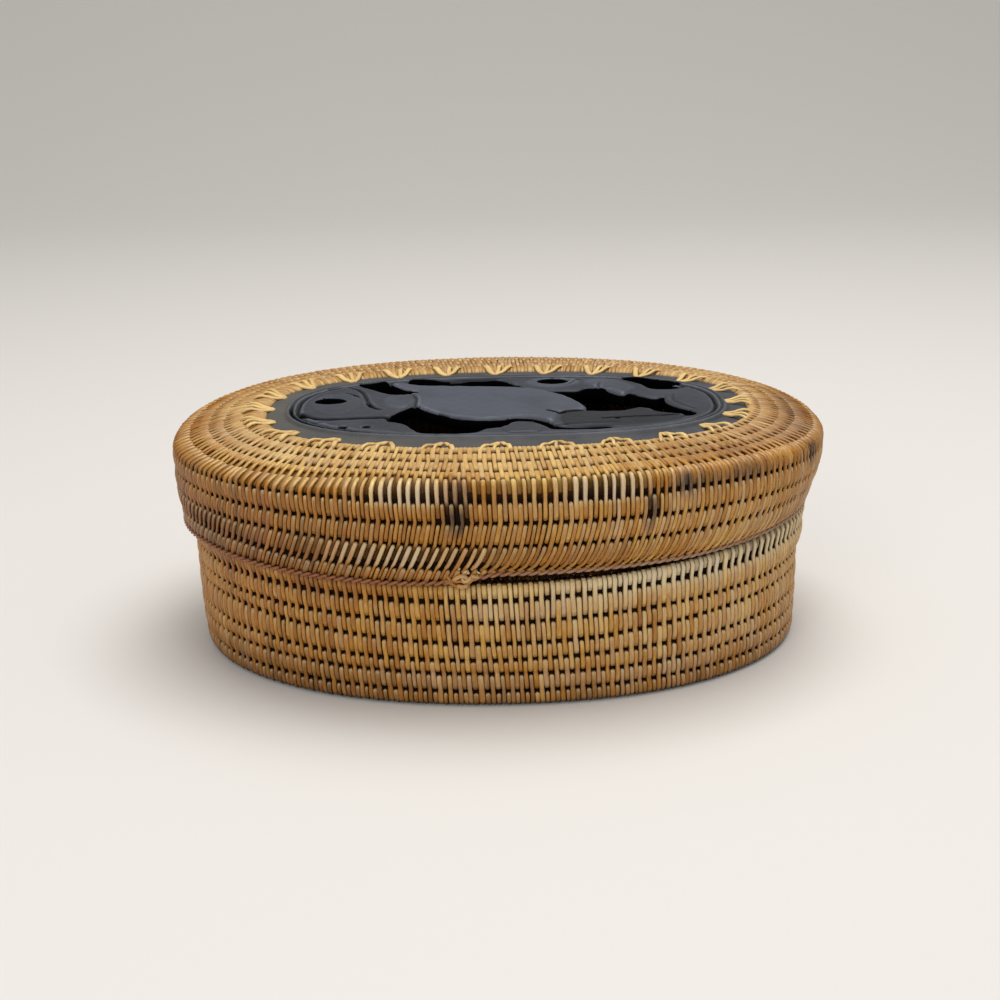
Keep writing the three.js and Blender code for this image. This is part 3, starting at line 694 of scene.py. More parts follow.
@dataclass
class StripBodies:
    """Many strips at once: points indexed by strip, station along it and point of its section."""

    points: Array
    uv: Array
    section: Array
    tone: Array | None = None

    def mesh(self) -> MeshData:
        """Their faces: quads along each strip and a flat cap at either end."""
        count, stations, ring, _ = self.points.shape
        strip = np.arange(count)[:, None, None] * stations * ring
        station = np.arange(stations - 1)[None, :, None] * ring
        place = np.arange(ring)[None, None, :]
        after = (place + 1) % ring
        a, b = strip + station + place, strip + station + after
        quads = np.stack([a, b, b + ring, a + ring], -1).reshape(-1)
        start = strip[:, :, 0] + np.arange(ring)[::-1]
        end = strip[:, :, 0] + (stations - 1) * ring + np.arange(ring)
        loops = np.concatenate([quads, start.reshape(-1), end.reshape(-1)])
        sizes = np.concatenate([np.full(len(quads) // 4, 4), np.full(2 * count, ring)])
        tone = None if self.tone is None else self.tone.reshape(-1, 4)
        return MeshData(self.points.reshape(-1, 3), loops, sizes, self.uv.reshape(-1, 2), tone)


def strip_bodies(
    base: Array, normals: Array, widths: Array, rise: Array, chance: np.random.Generator
) -> StripBodies:
    """Half-round strips along paths.

    A point is the path's own point, plus half the width times the section's place across, plus
    the rise times the section's height along the normal. Across is square to the path and to
    the normal.

    Args:
        base: Path points, by strip and station.
        normals: Directions out of the surface there.
        widths: Full widths there.
        rise: Thicknesses there.
        chance: Where each strip's own offset of the grain comes from.

    Returns:
        The strips.
    """
    along = unit(np.gradient(base, axis=1))
    across = unit(np.cross(along, normals))
    up = unit(np.cross(across, along))
    offset = 0.5 * widths[..., None, None] * SECTION_ACROSS[None, None, :, None]
    points = base[:, :, None, :] + across[:, :, None, :] * offset
    points = points + up[:, :, None, :] * (rise[..., None, None] * SECTION_UP[None, None, :, None])
    steps = np.linalg.norm(np.diff(base, axis=1), axis=-1)
    run = np.concatenate([np.zeros((len(base), 1)), np.cumsum(steps, 1)], 1)
    across_uv = 0.5 + 0.5 * SECTION_ACROSS[None, None, :] + chance.integers(0, 999, (len(base), 1, 1))
    run_uv = np.broadcast_to(run[..., None] * 0.1, points.shape[:3])
    uv = np.stack([np.broadcast_to(across_uv, points.shape[:3]), run_uv], -1)
    section = np.broadcast_to(SECTION_UP[None, None, :], points.shape[:3])
    return StripBodies(points, uv, section)


@dataclass
class Stain:
    """A stretch where strips are lighter, darker, redder or greyer than the rest.

    It lies at a share of the way round and at a level, fades out over its reach and depth, and
    adds to tone and warmth. An edge limits it to the strips that cross that edge.
    """

    share: float
    level: float
    reach: float
    depth: float
    tone: float
    warmth: float = 0.0
    edge: int | None = None


@dataclass
class ToneMap:
    """What colour each strip has: (tone, warmth, shade, cap) for every point.

    Tone runs from dark brown at 0 to pale straw at 1, warmth from grey-green at 0 to red-brown
    at 1. Shade is painted shade: 1 where a strip dives into a hole, and more where it lies sunk,
    against its neighbours or under the lid's rim. Cap is 1 on the pale end that it starts with,
    partly a paler cut end and partly a painted highlight.

    Attributes:
        tone: The tone round the box.
        warmth: The warmth round the box.
        levels: Pairs of level and what it adds to the tone.
        spread: How much strips differ.
        group_spread: How much groups of neighbouring strips differ.
        group_length: How long such a group is.
        caps: How strongly the pale ends show, partly paler cut ends and partly painted highlight.
        groove: Pairs of level and how dark painted shade makes the gaps between strips.
        painted_shade_by_level: Pairs of level and how far painted shade blackens the strips, as under the
            lid's rim.
        stains: Stretches of another tone.
    """

    tone: Around
    warmth: Around
    levels: tuple[tuple[float, float], ...] = ((0.0, 0.0),)
    spread: float = 0.045
    group_spread: float = 0.03
    group_length: float = 0.02
    caps: float = 1.0
    groove: tuple[tuple[float, float], ...] = ((0.0, 0.75),)
    painted_shade_by_level: tuple[tuple[float, float], ...] = ((0.0, 0.0),)
    stains: tuple[Stain, ...] = ()

    def colours(
        self, cross: Array, level: Array, way: Array, index: int,
        chance: np.random.Generator, section: Array, depth: Array,
    ) -> Array:
        """Values for the points of the strips that cross one edge.

        A strip's tone is the map's own, plus its group's, plus its own, plus what the stains
        near it add, each fading with the fourth power of the distance.

        Args:
            cross: The strips' places round the box.
            level: Levels of their stations.
            way: Places of their stations.
            index: The edge that they cross.
            chance: The band's seeded numbers.
            section: Heights over the section, which give the shape.
            depth: How deep the stations are sunk between the neighbouring strips.

        Returns:
            Four values for each point.
        """
        groups = max(int(1 / self.group_length), 4)
        knots = chance.normal(0, 1, groups)
        warm_knots = chance.normal(0, 1, groups)
        at = (cross % 1.0) * groups
        nearest = np.floor(at + 0.35 * np.sin(at * 7.3)).astype(int) % groups
        tone = self.group_spread * knots[nearest] + self.spread * chance.normal(0, 1, len(cross))
        warmth = 0.04 * warm_knots[nearest] + 0.05 * chance.normal(0, 1, len(cross))
        places, changes = np.array(self.levels).T
        tone = tone[:, None] + self.tone.at(way) + np.interp(level, places, changes)
        warmth = warmth[:, None] + self.warmth.at(way)
        for stain in self.stains:
            if stain.edge is not None and stain.edge != index:
                continue
            near = (way - stain.share + 0.5) % 1.0 - 0.5
            weight = np.exp(-((near / stain.reach) ** 4) - ((level - stain.level) / stain.depth) ** 4)
            tone = tone + stain.tone * weight
            warmth = warmth + stain.warmth * weight
        stations = level.shape[1]
        station = np.arange(stations)[None, :] + np.zeros_like(level)
        # Pale caps: partly the cut end's own colour, partly a painted highlight.
        cap = np.where(station < 2, self.caps, np.where(station < 3, 0.3 * self.caps, 0.0))
        if index == 0:
            cap = cap * 0.0
        # Painted shade: black where a strip dives into its hole, darker where it lies sunk.
        shade = np.where(station == stations - 1, 1.0, np.where(station == stations - 2, 0.4, 0.0))
        shade = np.maximum(shade, np.clip(depth * 1.5, 0, 0.9))
        # Painted shade by level, as in the gap under the lid's rim.
        places, painted_shade_by_level = np.array(self.painted_shade_by_level).T
        shade = np.maximum(shade, np.interp(level, places, painted_shade_by_level))
        values = np.broadcast_to(
            np.stack([tone, warmth, shade, cap], -1)[:, :, None, :], section.shape + (4,)).copy()
        # Painted shade on each strip's sides, in the gaps between neighbours.
        places, depths = np.array(self.groove).T
        groove = np.interp(level, places, depths)[:, :, None]
        values[..., 2] = np.maximum(values[..., 2], np.clip(0.3 - section, 0, 1) * groove)
        return values


# The box's own sizes


RIDGE_HEIGHT = 1.2
ROUNDNESS = 0.94
PANEL_ROUNDNESS = 0.8
@dataclass
class BoxSizes:
    """The driving sizes, read from the frame, in millimetres."""

    half_length: float
    half_width: float
    panel_half_length: float
    panel_half_width: float
    panel_shift: float
    flange_top: float
    hoop_top: float

    @staticmethod
    def from_frame() -> "BoxSizes":
        """Half sizes of the lid's edge coil and of the panel, from their boxes."""
        low, high = (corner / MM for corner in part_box("lid_edge_coil"))
        panel_low, panel_high = (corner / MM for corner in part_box("carved_panel"))
        return BoxSizes(
            half_length=(high.x - low.x) / 2,
            half_width=(high.y - low.y) / 2,
            panel_half_length=(panel_high.x - panel_low.x) / 2,
            panel_half_width=(panel_high.y - panel_low.y) / 2,
            panel_shift=(panel_high.x + panel_low.x) / 2,
            flange_top=panel_high.z - RIDGE_HEIGHT,
            hoop_top=(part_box("lid_hoop")[1] / MM).z,
        )


# Base


BASE_HEIGHTS = (
    {0: 40.3, .06: 41.2, .087: 42.3, .12: 43.6, .15: 44.8, .19: 45.8, .3: 45.3, .4: 43.5, .5: 41.8,
     .7: 41.6, .85: 41.4, .95: 40.6},
    {0: 34.5, .069: 36.5, .121: 37.5, .172: 38.8, .25: 38.8, .4: 37, .5: 34.4, .6: 35.2, .75: 36.4,
     .828: 35.7, .897: 35, .965: 34.2},
    {0: 27.6, .069: 29, .121: 29.9, .172: 30.7, .25: 31.2, .4: 29.2, .5: 27.6, .6: 28.8, .75: 30.4,
     .828: 29.6, .897: 28.7, .965: 27.7},
    {0: 20.8, .05: 21.4, .069: 22.7, .121: 24.4, .172: 25.8, .25: 26.2, .4: 23, .5: 20.8, .6: 22.6,
     .75: 26, .828: 25.4, .897: 23, .965: 21},
    {0: 15.4, .069: 16.5, .121: 16.8, .172: 17.8, .25: 18.4, .4: 16.6, .5: 15.4, .6: 16.1,
     .75: 17.6, .828: 17, .897: 15.8, .965: 15.4},
    {0: 10.9, .069: 10.6, .121: 11.3, .172: 11.6, .25: 12, .5: 10.9, .75: 12.2, .828: 11.8,
     .897: 11.3, .965: 11},
    {0: 4.9, .069: 5.2, .172: 5.6, .25: 5.9, .5: 4.9, .75: 5.6, .828: 5.4, .9: 5.2},
)
BASE_INSETS = (9.3, 7, 7.2, 7.3, 7.5, 7.9, 8.4)
BASE_DRAWN_IN = (0, -.5, 1.8, 1.5, 1.1, .8, .3)
BASE_SLOTS = Around({
    0: .85, .08: .95, .1: 1.3, .13: 1.9, .18: 2.3, .25: 2, .35: 1, .7: .6, .815: .6, .84: 1.4, .9: 1
}, .004)
BASE_LEFT_HOLES = Around({0: 1, .6: 1, .7: .4, .815: .4, .835: 1.9, .86: 1.6, .9: 1.1}, 0.004)
BASE_SLOT_SINKS = Around({0: 0, .09: 0, .13: .4, .2: .5, .3: .3, .35: 0})
BASE_SHOULDER_INSET = Around({0: 4.1, .17: 4.1, .25: 3.3, .33: 4.1, .7: 4.1})
BASE_SWELL = Around({0: 0, .16: 0, .25: 1.1, .34: 0})
BASE_TONES = ToneMap(
    Around({0: .6, .06: .6, .15: .58, .3: .6, .5: .55, .7: .5, .83: .49, .9: .5, .95: .55}),
    Around({0: .45, .15: .4, .5: .45, .8: .55, .9: .52}),
    # Painted shade: the shoulder's inner top, in the gap under the lid's rim, is darkened and blackened.
    levels=((0, -.7), (.16, -.65), (.27, .06), (.5, .03), (1, 0), (3, 0), (4, -.02),
            (5, -.08), (6, -.16), (7, -.2)),
    groove=((0, .5),),
    painted_shade_by_level=((0, 1), (.16, 1), (.26, 0)),
    stains=(
        # Pale, cool painted highlights on the shoulder's rounded tops at the front and right.
        Stain(.14, .6, .1, .7, .2, -.4),
        Stain(.03, .7, .06, .5, .14, -.15),
        Stain(.885, .7, .075, .6, -.08, .1),
        Stain(.02, 1.6, .05, .5, .03, -.15),
        Stain(.02, 5.5, .12, .6, 0, -.1),
    ),
)


def raised(knots: dict[float, float], by: float) -> Around:
    """A value round the box with all of its knots moved up."""
    return Around({share: height + by for share, height in knots.items()})


@dataclass
class WovenBase:
    """The base's wrapped rows: the shoulder that the lid sits on, and the six of the wall."""

    sizes: BoxSizes
    count: int = 177
    shoulder_start: float = -1.2
    shoulder_crown: float = 1.1
    left_reach: float = 0.5
    foot_height: float = 0.35
    foot_inset: float = 8.8
    bulge: float = 0.75
    core_width: float = 2.6
    seed: int = 11
    wall: Band = field(init=False)

    def __post_init__(self) -> None:
        """Lays out the rows, which climb towards both ends of the box."""
        rings = OvalRings(self.sizes.half_length, self.sizes.half_width, ROUNDNESS)
        even = [
            Around({0: height, 0.6: height, 0.7: 0.3, 0.815: 0.3, 0.835: height}, 0.004)
            for height in (0.95, 1.0, 1.05, 0.9)
        ]
        none = steady(0)
        holes = (none, BASE_SLOTS, even[0], BASE_LEFT_HOLES, *even[1:])
        sinks = (none, BASE_SLOT_SINKS, *[none] * 5)
        start = raised(BASE_HEIGHTS[0], self.shoulder_start)
        heights = (start, *(Around(knots) for knots in BASE_HEIGHTS[1:]))
        edges = [
            Edge(self.valley(inset, right), height, self.count, 0.1, hole, sink=sink, wide=1.08)
            for inset, right, height, hole, sink in zip(
                BASE_INSETS, BASE_DRAWN_IN, heights, holes, sinks)
        ]
        foot = steady(self.foot_height)
        edges.append(Edge(steady(self.foot_inset), foot, self.count, 0.1, steady(0.3), bridge=0))
        shoulder = Row(
            0, corner_inset=BASE_SHOULDER_INSET, corner_pull=(0.9, 0.5),
            corner_height=raised(BASE_HEIGHTS[0], self.shoulder_crown))
        rows = [shoulder, Row(self.bulge, swell=BASE_SWELL)] + [Row(self.bulge) for _ in range(5)]
        self.wall = Band(rings, edges, rows, self.seed)

    def valley(self, inset: float, right: float) -> Around:
        """A valley's inset, which is more by a given length at the right end, less at the left."""
        left = inset - self.left_reach
        return Around({
            0: inset, 0.17: inset, 0.25: inset + right, 0.33: inset, 0.67: inset, 0.75: left, 0.83: inset})

    def build(self, finishes: "Finishes") -> None:
        """Makes the strips and the dark bundle under them."""
        for name, first, last, node in (
            ("base_shoulder_strips", 0, 1, "base_shoulder"),
            ("base_wall_strips", 1, None, "base_wall"),
        ):
            strips = self.wall.strips(BASE_TONES, first, last)
            make_piece(name, strips, Body.BASE, Slot.BASE_CANE, finishes.base_cane, (node,))
        core = self.wall.core(self.core_width)
        make_piece("base_core", core, Body.BASE, Slot.BASE_CANE, finishes.shadow_cane)


# Lid


LID_DROOP = Around({
    0: 0, .035: .02, .062: .03, .107: .15, .148: .35, .2: .6, .25: .72, .3: .5, .352: .25, .41: .08,
    .5: 0, .59: .05, .648: .2, .7: .5, .75: .85, .8: 1, .838: 1, .874: .97, .902: .85, .928: .5,
    .953: .2, .975: .05
})
CROWN_INSETS = (0, 2.4, 8.2, 15.8, 24.4, 31)
CROWN_HEIGHTS = (-2.1, -1.85, -1.45, -.8, -.15, -.1)
DROOP_FADE = (1, .85, .62, .35, .1, 0)


@dataclass
class TopHeight:
    """The height of the lid's woven top along one of its valleys.

    It is crowned towards the panel, and it sinks with the lid's droop, which fades out on the
    way from the edge to the panel.
    """

    inset: Around
    top: float
    droop: float
    lift: float = 0.0

    def at(self, share: Array) -> Array:
        """The height at shares of the way round."""
        inset = self.inset.at(share)
        crown = np.interp(inset, CROWN_INSETS, CROWN_HEIGHTS)
        fade = np.interp(inset, CROWN_INSETS, DROOP_FADE)
        return self.top + crown + self.lift - self.droop * fade * LID_DROOP.at(share)


TOP_INSETS = (
    {0: 24, .04: 25.4, .08: 26.3, .12: 27.2, .2: 27.6, .35: 26, .5: 24, .65: 24.6, .8: 24.6,
     .85: 24.2, .92: 25, .96: 23.2},
    {0: 16, .02: 16.5, .04: 18, .06: 19, .12: 19.6, .2: 20.2, .35: 18, .5: 16, .65: 17.4, .8: 18.6,
     .92: 19, .96: 17, .98: 16.3},
    {0: 8, .02: 8.5, .04: 10.5, .06: 11.8, .08: 12.8, .12: 13.3, .2: 14, .35: 11, .5: 8.6, .65: 11,
     .8: 13.7, .9: 13.3, .92: 13, .94: 12, .96: 10, .98: 8.5},
    {0: 2.2, .02: 2.5, .04: 3.2, .06: 4, .08: 5, .1: 6, .12: 7, .14: 8, .16: 7.8, .2: 7, .35: 4.4,
     .5: 2.6, .65: 5.6, .8: 8.7, .9: 9.3, .92: 9.2, .94: 8.3, .96: 5.6, .98: 3},
)
TOP_HOLES = (
    Around({0: 1.3, .1: 1.3, .25: 1.2, .5: 1.3, .75: 1.2, .9: 1.3}),
    Around({0: 2.2, .1: 1.6, .25: 1.3, .5: 1.7, .75: 1.3, .9: 1.6}),
    Around({0: 1.4, .1: 1.4, .25: 1.2, .5: 1.3, .75: 1.2, .9: 1.5}),
    Around({0: .9, .06: 1, .12: 1.2, .25: 1.1, .5: 1, .75: 1, .88: 1.1, .93: 1.1, .96: 1}),
)
CORNER_HOLES = Around({
    0: 1.2, .028: 1.3, .036: 1.9, .06: 1.9, .068: 1.1, .08: .7, .11: .45, .25: .45, .5: .6, .7: .5,
    .8: .45, .89: .5, .925: .8, .938: 2, .98: 2.2, .988: 1.3
}, .002)
CORNER_SINKS = Around({
    0: .38, .028: .42, .036: .62, .06: .62, .068: .45, .08: .15, .1: 0, .5: 0, .75: .1, .8: .3,
    .86: .42, .93: .5, .938: .62, .975: .62, .984: .4
}, .002)
UPPER_HOLES = Around({
    0: .9, .069: .9, .072: 2.4, .078: 2.4, .081: .9, .25: .6, .5: .8, .75: .4, .81: .5, .84: .9, .9: .9,
    .967: .9, .97: 3, .981: 3, .984: .9
}, .0015)
UPPER_SINKS = Around({
    0: 0, .069: 0, .072: .5, .078: .5, .081: 0, .967: 0, .97: .6, .981: .6, .984: 0
}, .0015)
MIDDLE_HOLES = Around({
    0: .8, .09: .9, .13: 1.3, .25: 1.2, .5: .9, .75: .7, .81: .9, .84: 1.4, .89: 1.1, .91: .8
}, .006)
LOWER_HOLES = Around({
    0: .9, .1: 1, .25: 1.1, .5: 1.1, .75: 2, .79: 2.8, .84: 2.8, .87: 1.8, .915: 2.4, .975: 2.6,
    .979: 4.5, .989: 4.5, .992: 1.2
}, .003)
LOWER_SINKS = Around({
    0: .1, .1: .1, .5: .05, .75: .2, .8: .35, .84: .35, .87: .1, .885: .1, .905: .35, .93: .6, .988: .6,
    .994: .15
}, .003)
LOWER_BEND = Around({0: 1.8, .3: 1.8, .5: 1.5, .8: 1.1, .985: 1.1, .992: 1.8}, 0.002)
FOOT_HOLES = Around({0: 1.2, .978: 1.2, .981: 3.4, .988: 3.4, .991: 1.2}, 0.002)
NOTHING, STRAIGHT = steady(0), steady(1)


def side_edge(
    insets: dict[float, float], heights: dict[float, float], lean: float, hole: Around,
    sink: Around = NOTHING, bend: Around = STRAIGHT,
) -> Edge:
    """A valley of the lid's side; all of them are crossed by the same number of strips."""
    return Edge(Around(insets), Around(heights, 0.004), 210, lean, hole, 0.45, sink, bend, 1.05)


SIDE_EDGES = [
    side_edge(
        {0: 1.1, .1: 1, .25: 1, .5: 1.1, .75: .8, .9: .9},
        {0: 67.8, .1: 67.6, .172: 66.5, .25: 66.2, .5: 67.5, .75: 66.4, .828: 66.8, .9: 67.5},
        .1, CORNER_HOLES, CORNER_SINKS),
    side_edge(
        {0: 1.7, .62: 1.7, .75: 1.1, .86: 1.6},
        {0: 60.9, .103: 60.4, .172: 60, .25: 59.8, .5: 60.6, .75: 61.1, .828: 61.2, .9: 61},
        .1, UPPER_HOLES, UPPER_SINKS),
    side_edge(
        {0: 2.7, .62: 2.7, .75: 1.8, .86: 2.5},
        {0: 53.4, .103: 53.6, .172: 54.4, .25: 54.8, .5: 53.6, .75: 55.8, .828: 55.6, .9: 54.7,
         .96: 53.8},
        -.1, MIDDLE_HOLES),
    side_edge(
        {0: 4.1},
        {0: 46.2, .05: 45.7, .103: 46, .138: 47, .172: 47.9, .25: 48.3, .4: 47, .5: 46.3, .6: 47,
         .75: 49, .828: 48.7, .868: 48, .9: 46.8, .965: 46.2},
        -.9, LOWER_HOLES, LOWER_SINKS, LOWER_BEND),
    side_edge(
        {0: 4.8, .62: 4.8, .75: 5.4, .86: 4.8},
        {0: 44.5, .02: 44.6, .06: 44.9, .103: 45.3, .172: 47.2, .25: 47.5, .4: 46, .5: 45.4,
         .55: 44.4, .62: 43.4, .75: 43.6, .82: 43.5, .851: 42.9, .868: 42.4, .883: 42, .904: 41.7,
         .95: 41.3, .97: 41.7, .985: 42.8},
        -.9, FOOT_HOLES),
]
LID_TONES = ToneMap(
    Around({
        0: .52, .03: .55, .1: .57, .2: .54, .3: .5, .5: .45, .7: .38, .82: .36, .88: .4, .93: .45,
        .95: .46, .98: .48
    }),
    Around({0: .52, .1: .44, .2: .42, .5: .5, .75: .62, .85: .58, .93: .54}),
    levels=((0, .26), (2, .24), (4, .2), (4.45, .2), (4.7, .06), (5, 0), (6, -.02),
            (7, 0), (8, -.04), (9, -.1)),
    groove=((0, .1), (4, .12), (4.6, .4), (5, .55)),
    stains=(
        # Painted light at the front middle: proud corner-row strips get pale painted highlights, recessed
        # ones beside them painted shade.
        Stain(.96, 4.7, .03, .4, -.1, -.1, 4),
        Stain(.955, 4.8, .028, .5, .19, -.5, 5),
        Stain(.045, 4.7, .025, .4, -.1, 0, 4),
        Stain(.05, 4.75, .02, .5, .15, -.5, 5),
        Stain(.115, 4.8, .035, .4, -.15, -.05),
        Stain(.18, 2.6, .13, 2.2, -.33, .05),
        Stain(.9, 7.8, .04, .9, -.06, .05),
        Stain(.5, 2, .22, 2.6, -.15, 0),
        Stain(.04, 7.6, .06, .7, -.08, .05),
        # A pale painted highlight on the lowest row's strips at the front.
        Stain(.95, 7.5, .04, .5, .14, -.45, 8),
        # Painted shade: a strip or two darkened at each tall dark slot.
        Stain(.977, 5, .0065, 1.3, -.3, -.05),
        Stain(.978, 6.1, .003, .6, -.3, 0),
        Stain(.073, 5.8, .003, .9, -.4, -.05),
        Stain(.091, 4.9, .005, .5, -.28, -.1),
        Stain(.19, 4.9, .006, .5, -.35, .1),
        Stain(.85, 4.8, .05, .4, -.03, -.12),
        Stain(.8, 7.5, .07, .9, -.1, .12),
        Stain(.76, 3.3, .06, 1.3, -.08, -.02),
        Stain(.78, 2.1, .16, 2.4, .02, -.12),
        Stain(.24, 3.3, .06, 1.3, -.1, .05),
    ),
)
# Painted light: the bundle under the top rows is painted paler, where light falls into those holes from
# above.
LID_CORE_PAINTED_LIGHT = ((0, 1), (4.2, 1), (4.7, .35), (5, 0))


@dataclass
class WovenLid:
    """The lid's wrapped rows, from the panel's hoop over the corner and down to the rim."""

    sizes: BoxSizes
    droop: float = 5.8
    foot_shift: float = 2.3
    valley_depth: float = 0.35
    hoop_drop: float = 1.3
    top_counts: tuple[int, ...] = (168, 182, 196, 206)
    core_width: float = 1.2
    seed: int = 23
    rows: Band = field(init=False)

    def __post_init__(self) -> None:
        """Lays out the rows of the top, the corner and the skirt."""
        border = self.sizes.half_width - self.sizes.panel_half_width
        rings = OvalRings(
            self.sizes.half_length, self.sizes.half_width, ROUNDNESS, border,
            self.sizes.panel_half_length, PANEL_ROUNDNESS, self.sizes.panel_shift,
        )
        top, sink = self.sizes.hoop_top, -self.valley_depth
        start = steady(top - self.hoop_drop)
        edges = [Edge(steady(border + 0.2), start, 158, 0.1, NOTHING, bridge=0, wide=1.1)]
        for knots, count, hole in zip(TOP_INSETS, self.top_counts, TOP_HOLES):
            valley = Around(knots, 0.006)
            height = TopHeight(valley, top, self.droop, sink)
            edges.append(Edge(valley, height, count, 0.1, hole, bridge=0.34, wide=1.16, flat=0.8))
        edges += SIDE_EDGES
        corner = TopHeight(NOTHING, top, self.droop, 0.15)
        rows = [Row(0.8, start_width=1.1)] + [Row(0.36) for _ in range(3)]
        rows += [Row(0, corner_inset=steady(-0.5), corner_height=corner)]
        rows += [Row(0.75), Row(0.75), Row(0.7), Row(0.3, start_width=1.2, end_width=0.7)]
        self.rows = Band(rings, edges, rows, self.seed, shift=self.shift_at)

    def shift_at(self, height: Array) -> Array:
        """How far the skirt has slipped towards -X: by the whole foot shift at its foot only."""
        return -self.foot_shift * np.interp(height, [44, 46, 53.6, 60.8], [1, 1, 0.52, 0])

    def build(self, finishes: "Finishes") -> None:
        """Makes the strips of the top, the corner and the skirt, and the bundle under them."""
        top, side = (Slot.TOP_CANE, finishes.top_cane), (Slot.SIDE_CANE, finishes.side_cane)
        for name, first, last, look, node in (
            ("lid_top_strips", 1, 4, top, "lid_top"),
            ("lid_hoop_strips", 0, 1, top, "lid_hoop"),
            ("lid_edge_strips", 4, 6, side, "lid_edge_coil"),
            ("lid_skirt_strips", 6, None, side, "lid_skirt"),
        ):
            make_piece(name, self.rows.strips(LID_TONES, first, last), Body.LID, *look, (node,))
        core = self.rows.core(self.core_width, LID_CORE_PAINTED_LIGHT)
        make_piece("lid_core", core, Body.LID, Slot.SIDE_CANE, finishes.shadow_cane)


# Rim


def tube(
    path: Array, radius: Array | float, tone: Array, sides: int = 7, closed: bool = True
) -> MeshData:
    """Round tubes along paths: a circle carried square to each path.

    Args:
        path: Points, by path and station.
        radius: Of the tubes.
        tone: Colour values, by path and station.
        sides: Points round them.
        closed: Whether each path meets itself.

    Returns:
        One mesh of them all.
    """
    count, stations, _ = path.shape
    if closed:
        along = unit(np.roll(path, -1, 1) - np.roll(path, 1, 1))
    else:
        along = unit(np.gradient(path, axis=1))
    helper = np.broadcast_to(np.array([0.0, 0.0, 1.0]), along.shape)
    first = unit(np.cross(along, helper))
    second = np.cross(along, first)
    turn = 2 * np.pi * np.arange(sides) / sides
    radius = np.broadcast_to(np.asarray(radius, dtype=float), (count, stations))[..., None, None]
    ring = first[:, :, None] * np.cos(turn)[:, None] + second[:, :, None] * np.sin(turn)[:, None]
    points = path[:, :, None] + ring * radius
    parts = []
    for strand in range(count):
        loops, sizes = grid_faces(stations, sides, closed, True)
        if not closed:
            start = np.arange(sides)[::-1]
            end = (stations - 1) * sides + np.arange(sides)
            loops = np.concatenate([loops, start, end])
            sizes = np.concatenate([sizes, [sides, sides]])
        run = np.linalg.norm(np.diff(path[strand], axis=0), axis=-1)
        run = np.concatenate([[0.0], np.cumsum(run)]) * 0.1
        uv = np.stack(np.broadcast_arrays(np.arange(sides)[None] / sides + strand, run[:, None]), -1)
        colour = np.repeat(tone[strand], sides, axis=0)
        parts.append(MeshData(points[strand].reshape(-1, 3), loops, sizes, uv.reshape(-1, 2), colour))
    return MeshData.joined(parts).outward()


@dataclass
class RimCord:
    """The twisted cord that closes the skirt's edge: two strands round each other."""

    lid: WovenLid
    strand_radius: float = 0.5
    twist_radius: float = 0.4
    turns: int = 105
    strands: int = 2
    steps_per_turn: int = 14
    inset: Around = Around({0: 4.4, .62: 4.4, .75: 5, .86: 4.4})
    tone: Around = Around({0: .56, .1: .58, .5: .5, .8: .46, .97: .5})
    warmth: Around = Around({0: .5, .03: .42, .1: .4, .3: .5, .5: .6, .8: .78, .96: .7})

    def build(self, finishes: "Finishes") -> None:
        """Makes the strands: each turns round a line just under the skirt's last row."""
        steps = self.turns * self.steps_per_turn
        share = np.arange(steps) / steps
        last = len(self.lid.rows.rows)
        line = self.lid.rows.place(share, np.full(steps, last - 0.001))
        x, y = self.lid.rows.rings.point(share, self.inset.at(share))
        line[:, 0] = x + self.lid.shift_at(line[:, 2])
        line[:, 1] = y
        line[:, 2] -= self.twist_radius + 0.1
        out = unit(np.stack([x, y, np.zeros(steps)], -1))
        turn = 2 * np.pi * self.turns * share
        paths = []
        for strand in range(self.strands):
            angle = turn + 2 * np.pi * strand / self.strands
            offset = out * np.cos(angle)[:, None] * self.twist_radius
            rise = np.array([0, 0, 1.0]) * np.sin(angle)[:, None] * self.twist_radius
            paths.append(line + offset + rise)
        tone = np.zeros((self.strands, steps, 4))
        tone[..., 0] = self.tone.at(share)
        tone[..., 1] = self.warmth.at(share)
        # Painted shade: each strand darkens where it turns behind the cord's line.
        for strand in range(self.strands):
            behind = 0.25 - np.cos(turn + 2 * np.pi * strand / self.strands)
            tone[strand, :, 2] = np.clip(behind, 0, 1)
        make_piece(
            "lid_rim_cord", tube(np.array(paths), self.strand_radius, tone), Body.LID, Slot.BRAID,
            finishes.braid, ("lid_rim_braid",),
        )


@dataclass(frozen=True)
class Loop:
    """One strand of the tied-off end: its line, its thickness and its tone and warmth.

    The line's points are (along the front, height, how far out of the rim) in millimetres.
    """

    line: tuple[tuple[float, float, float], ...]
    radius: float
    tone: float = 0.6
    warmth: float = 0.5


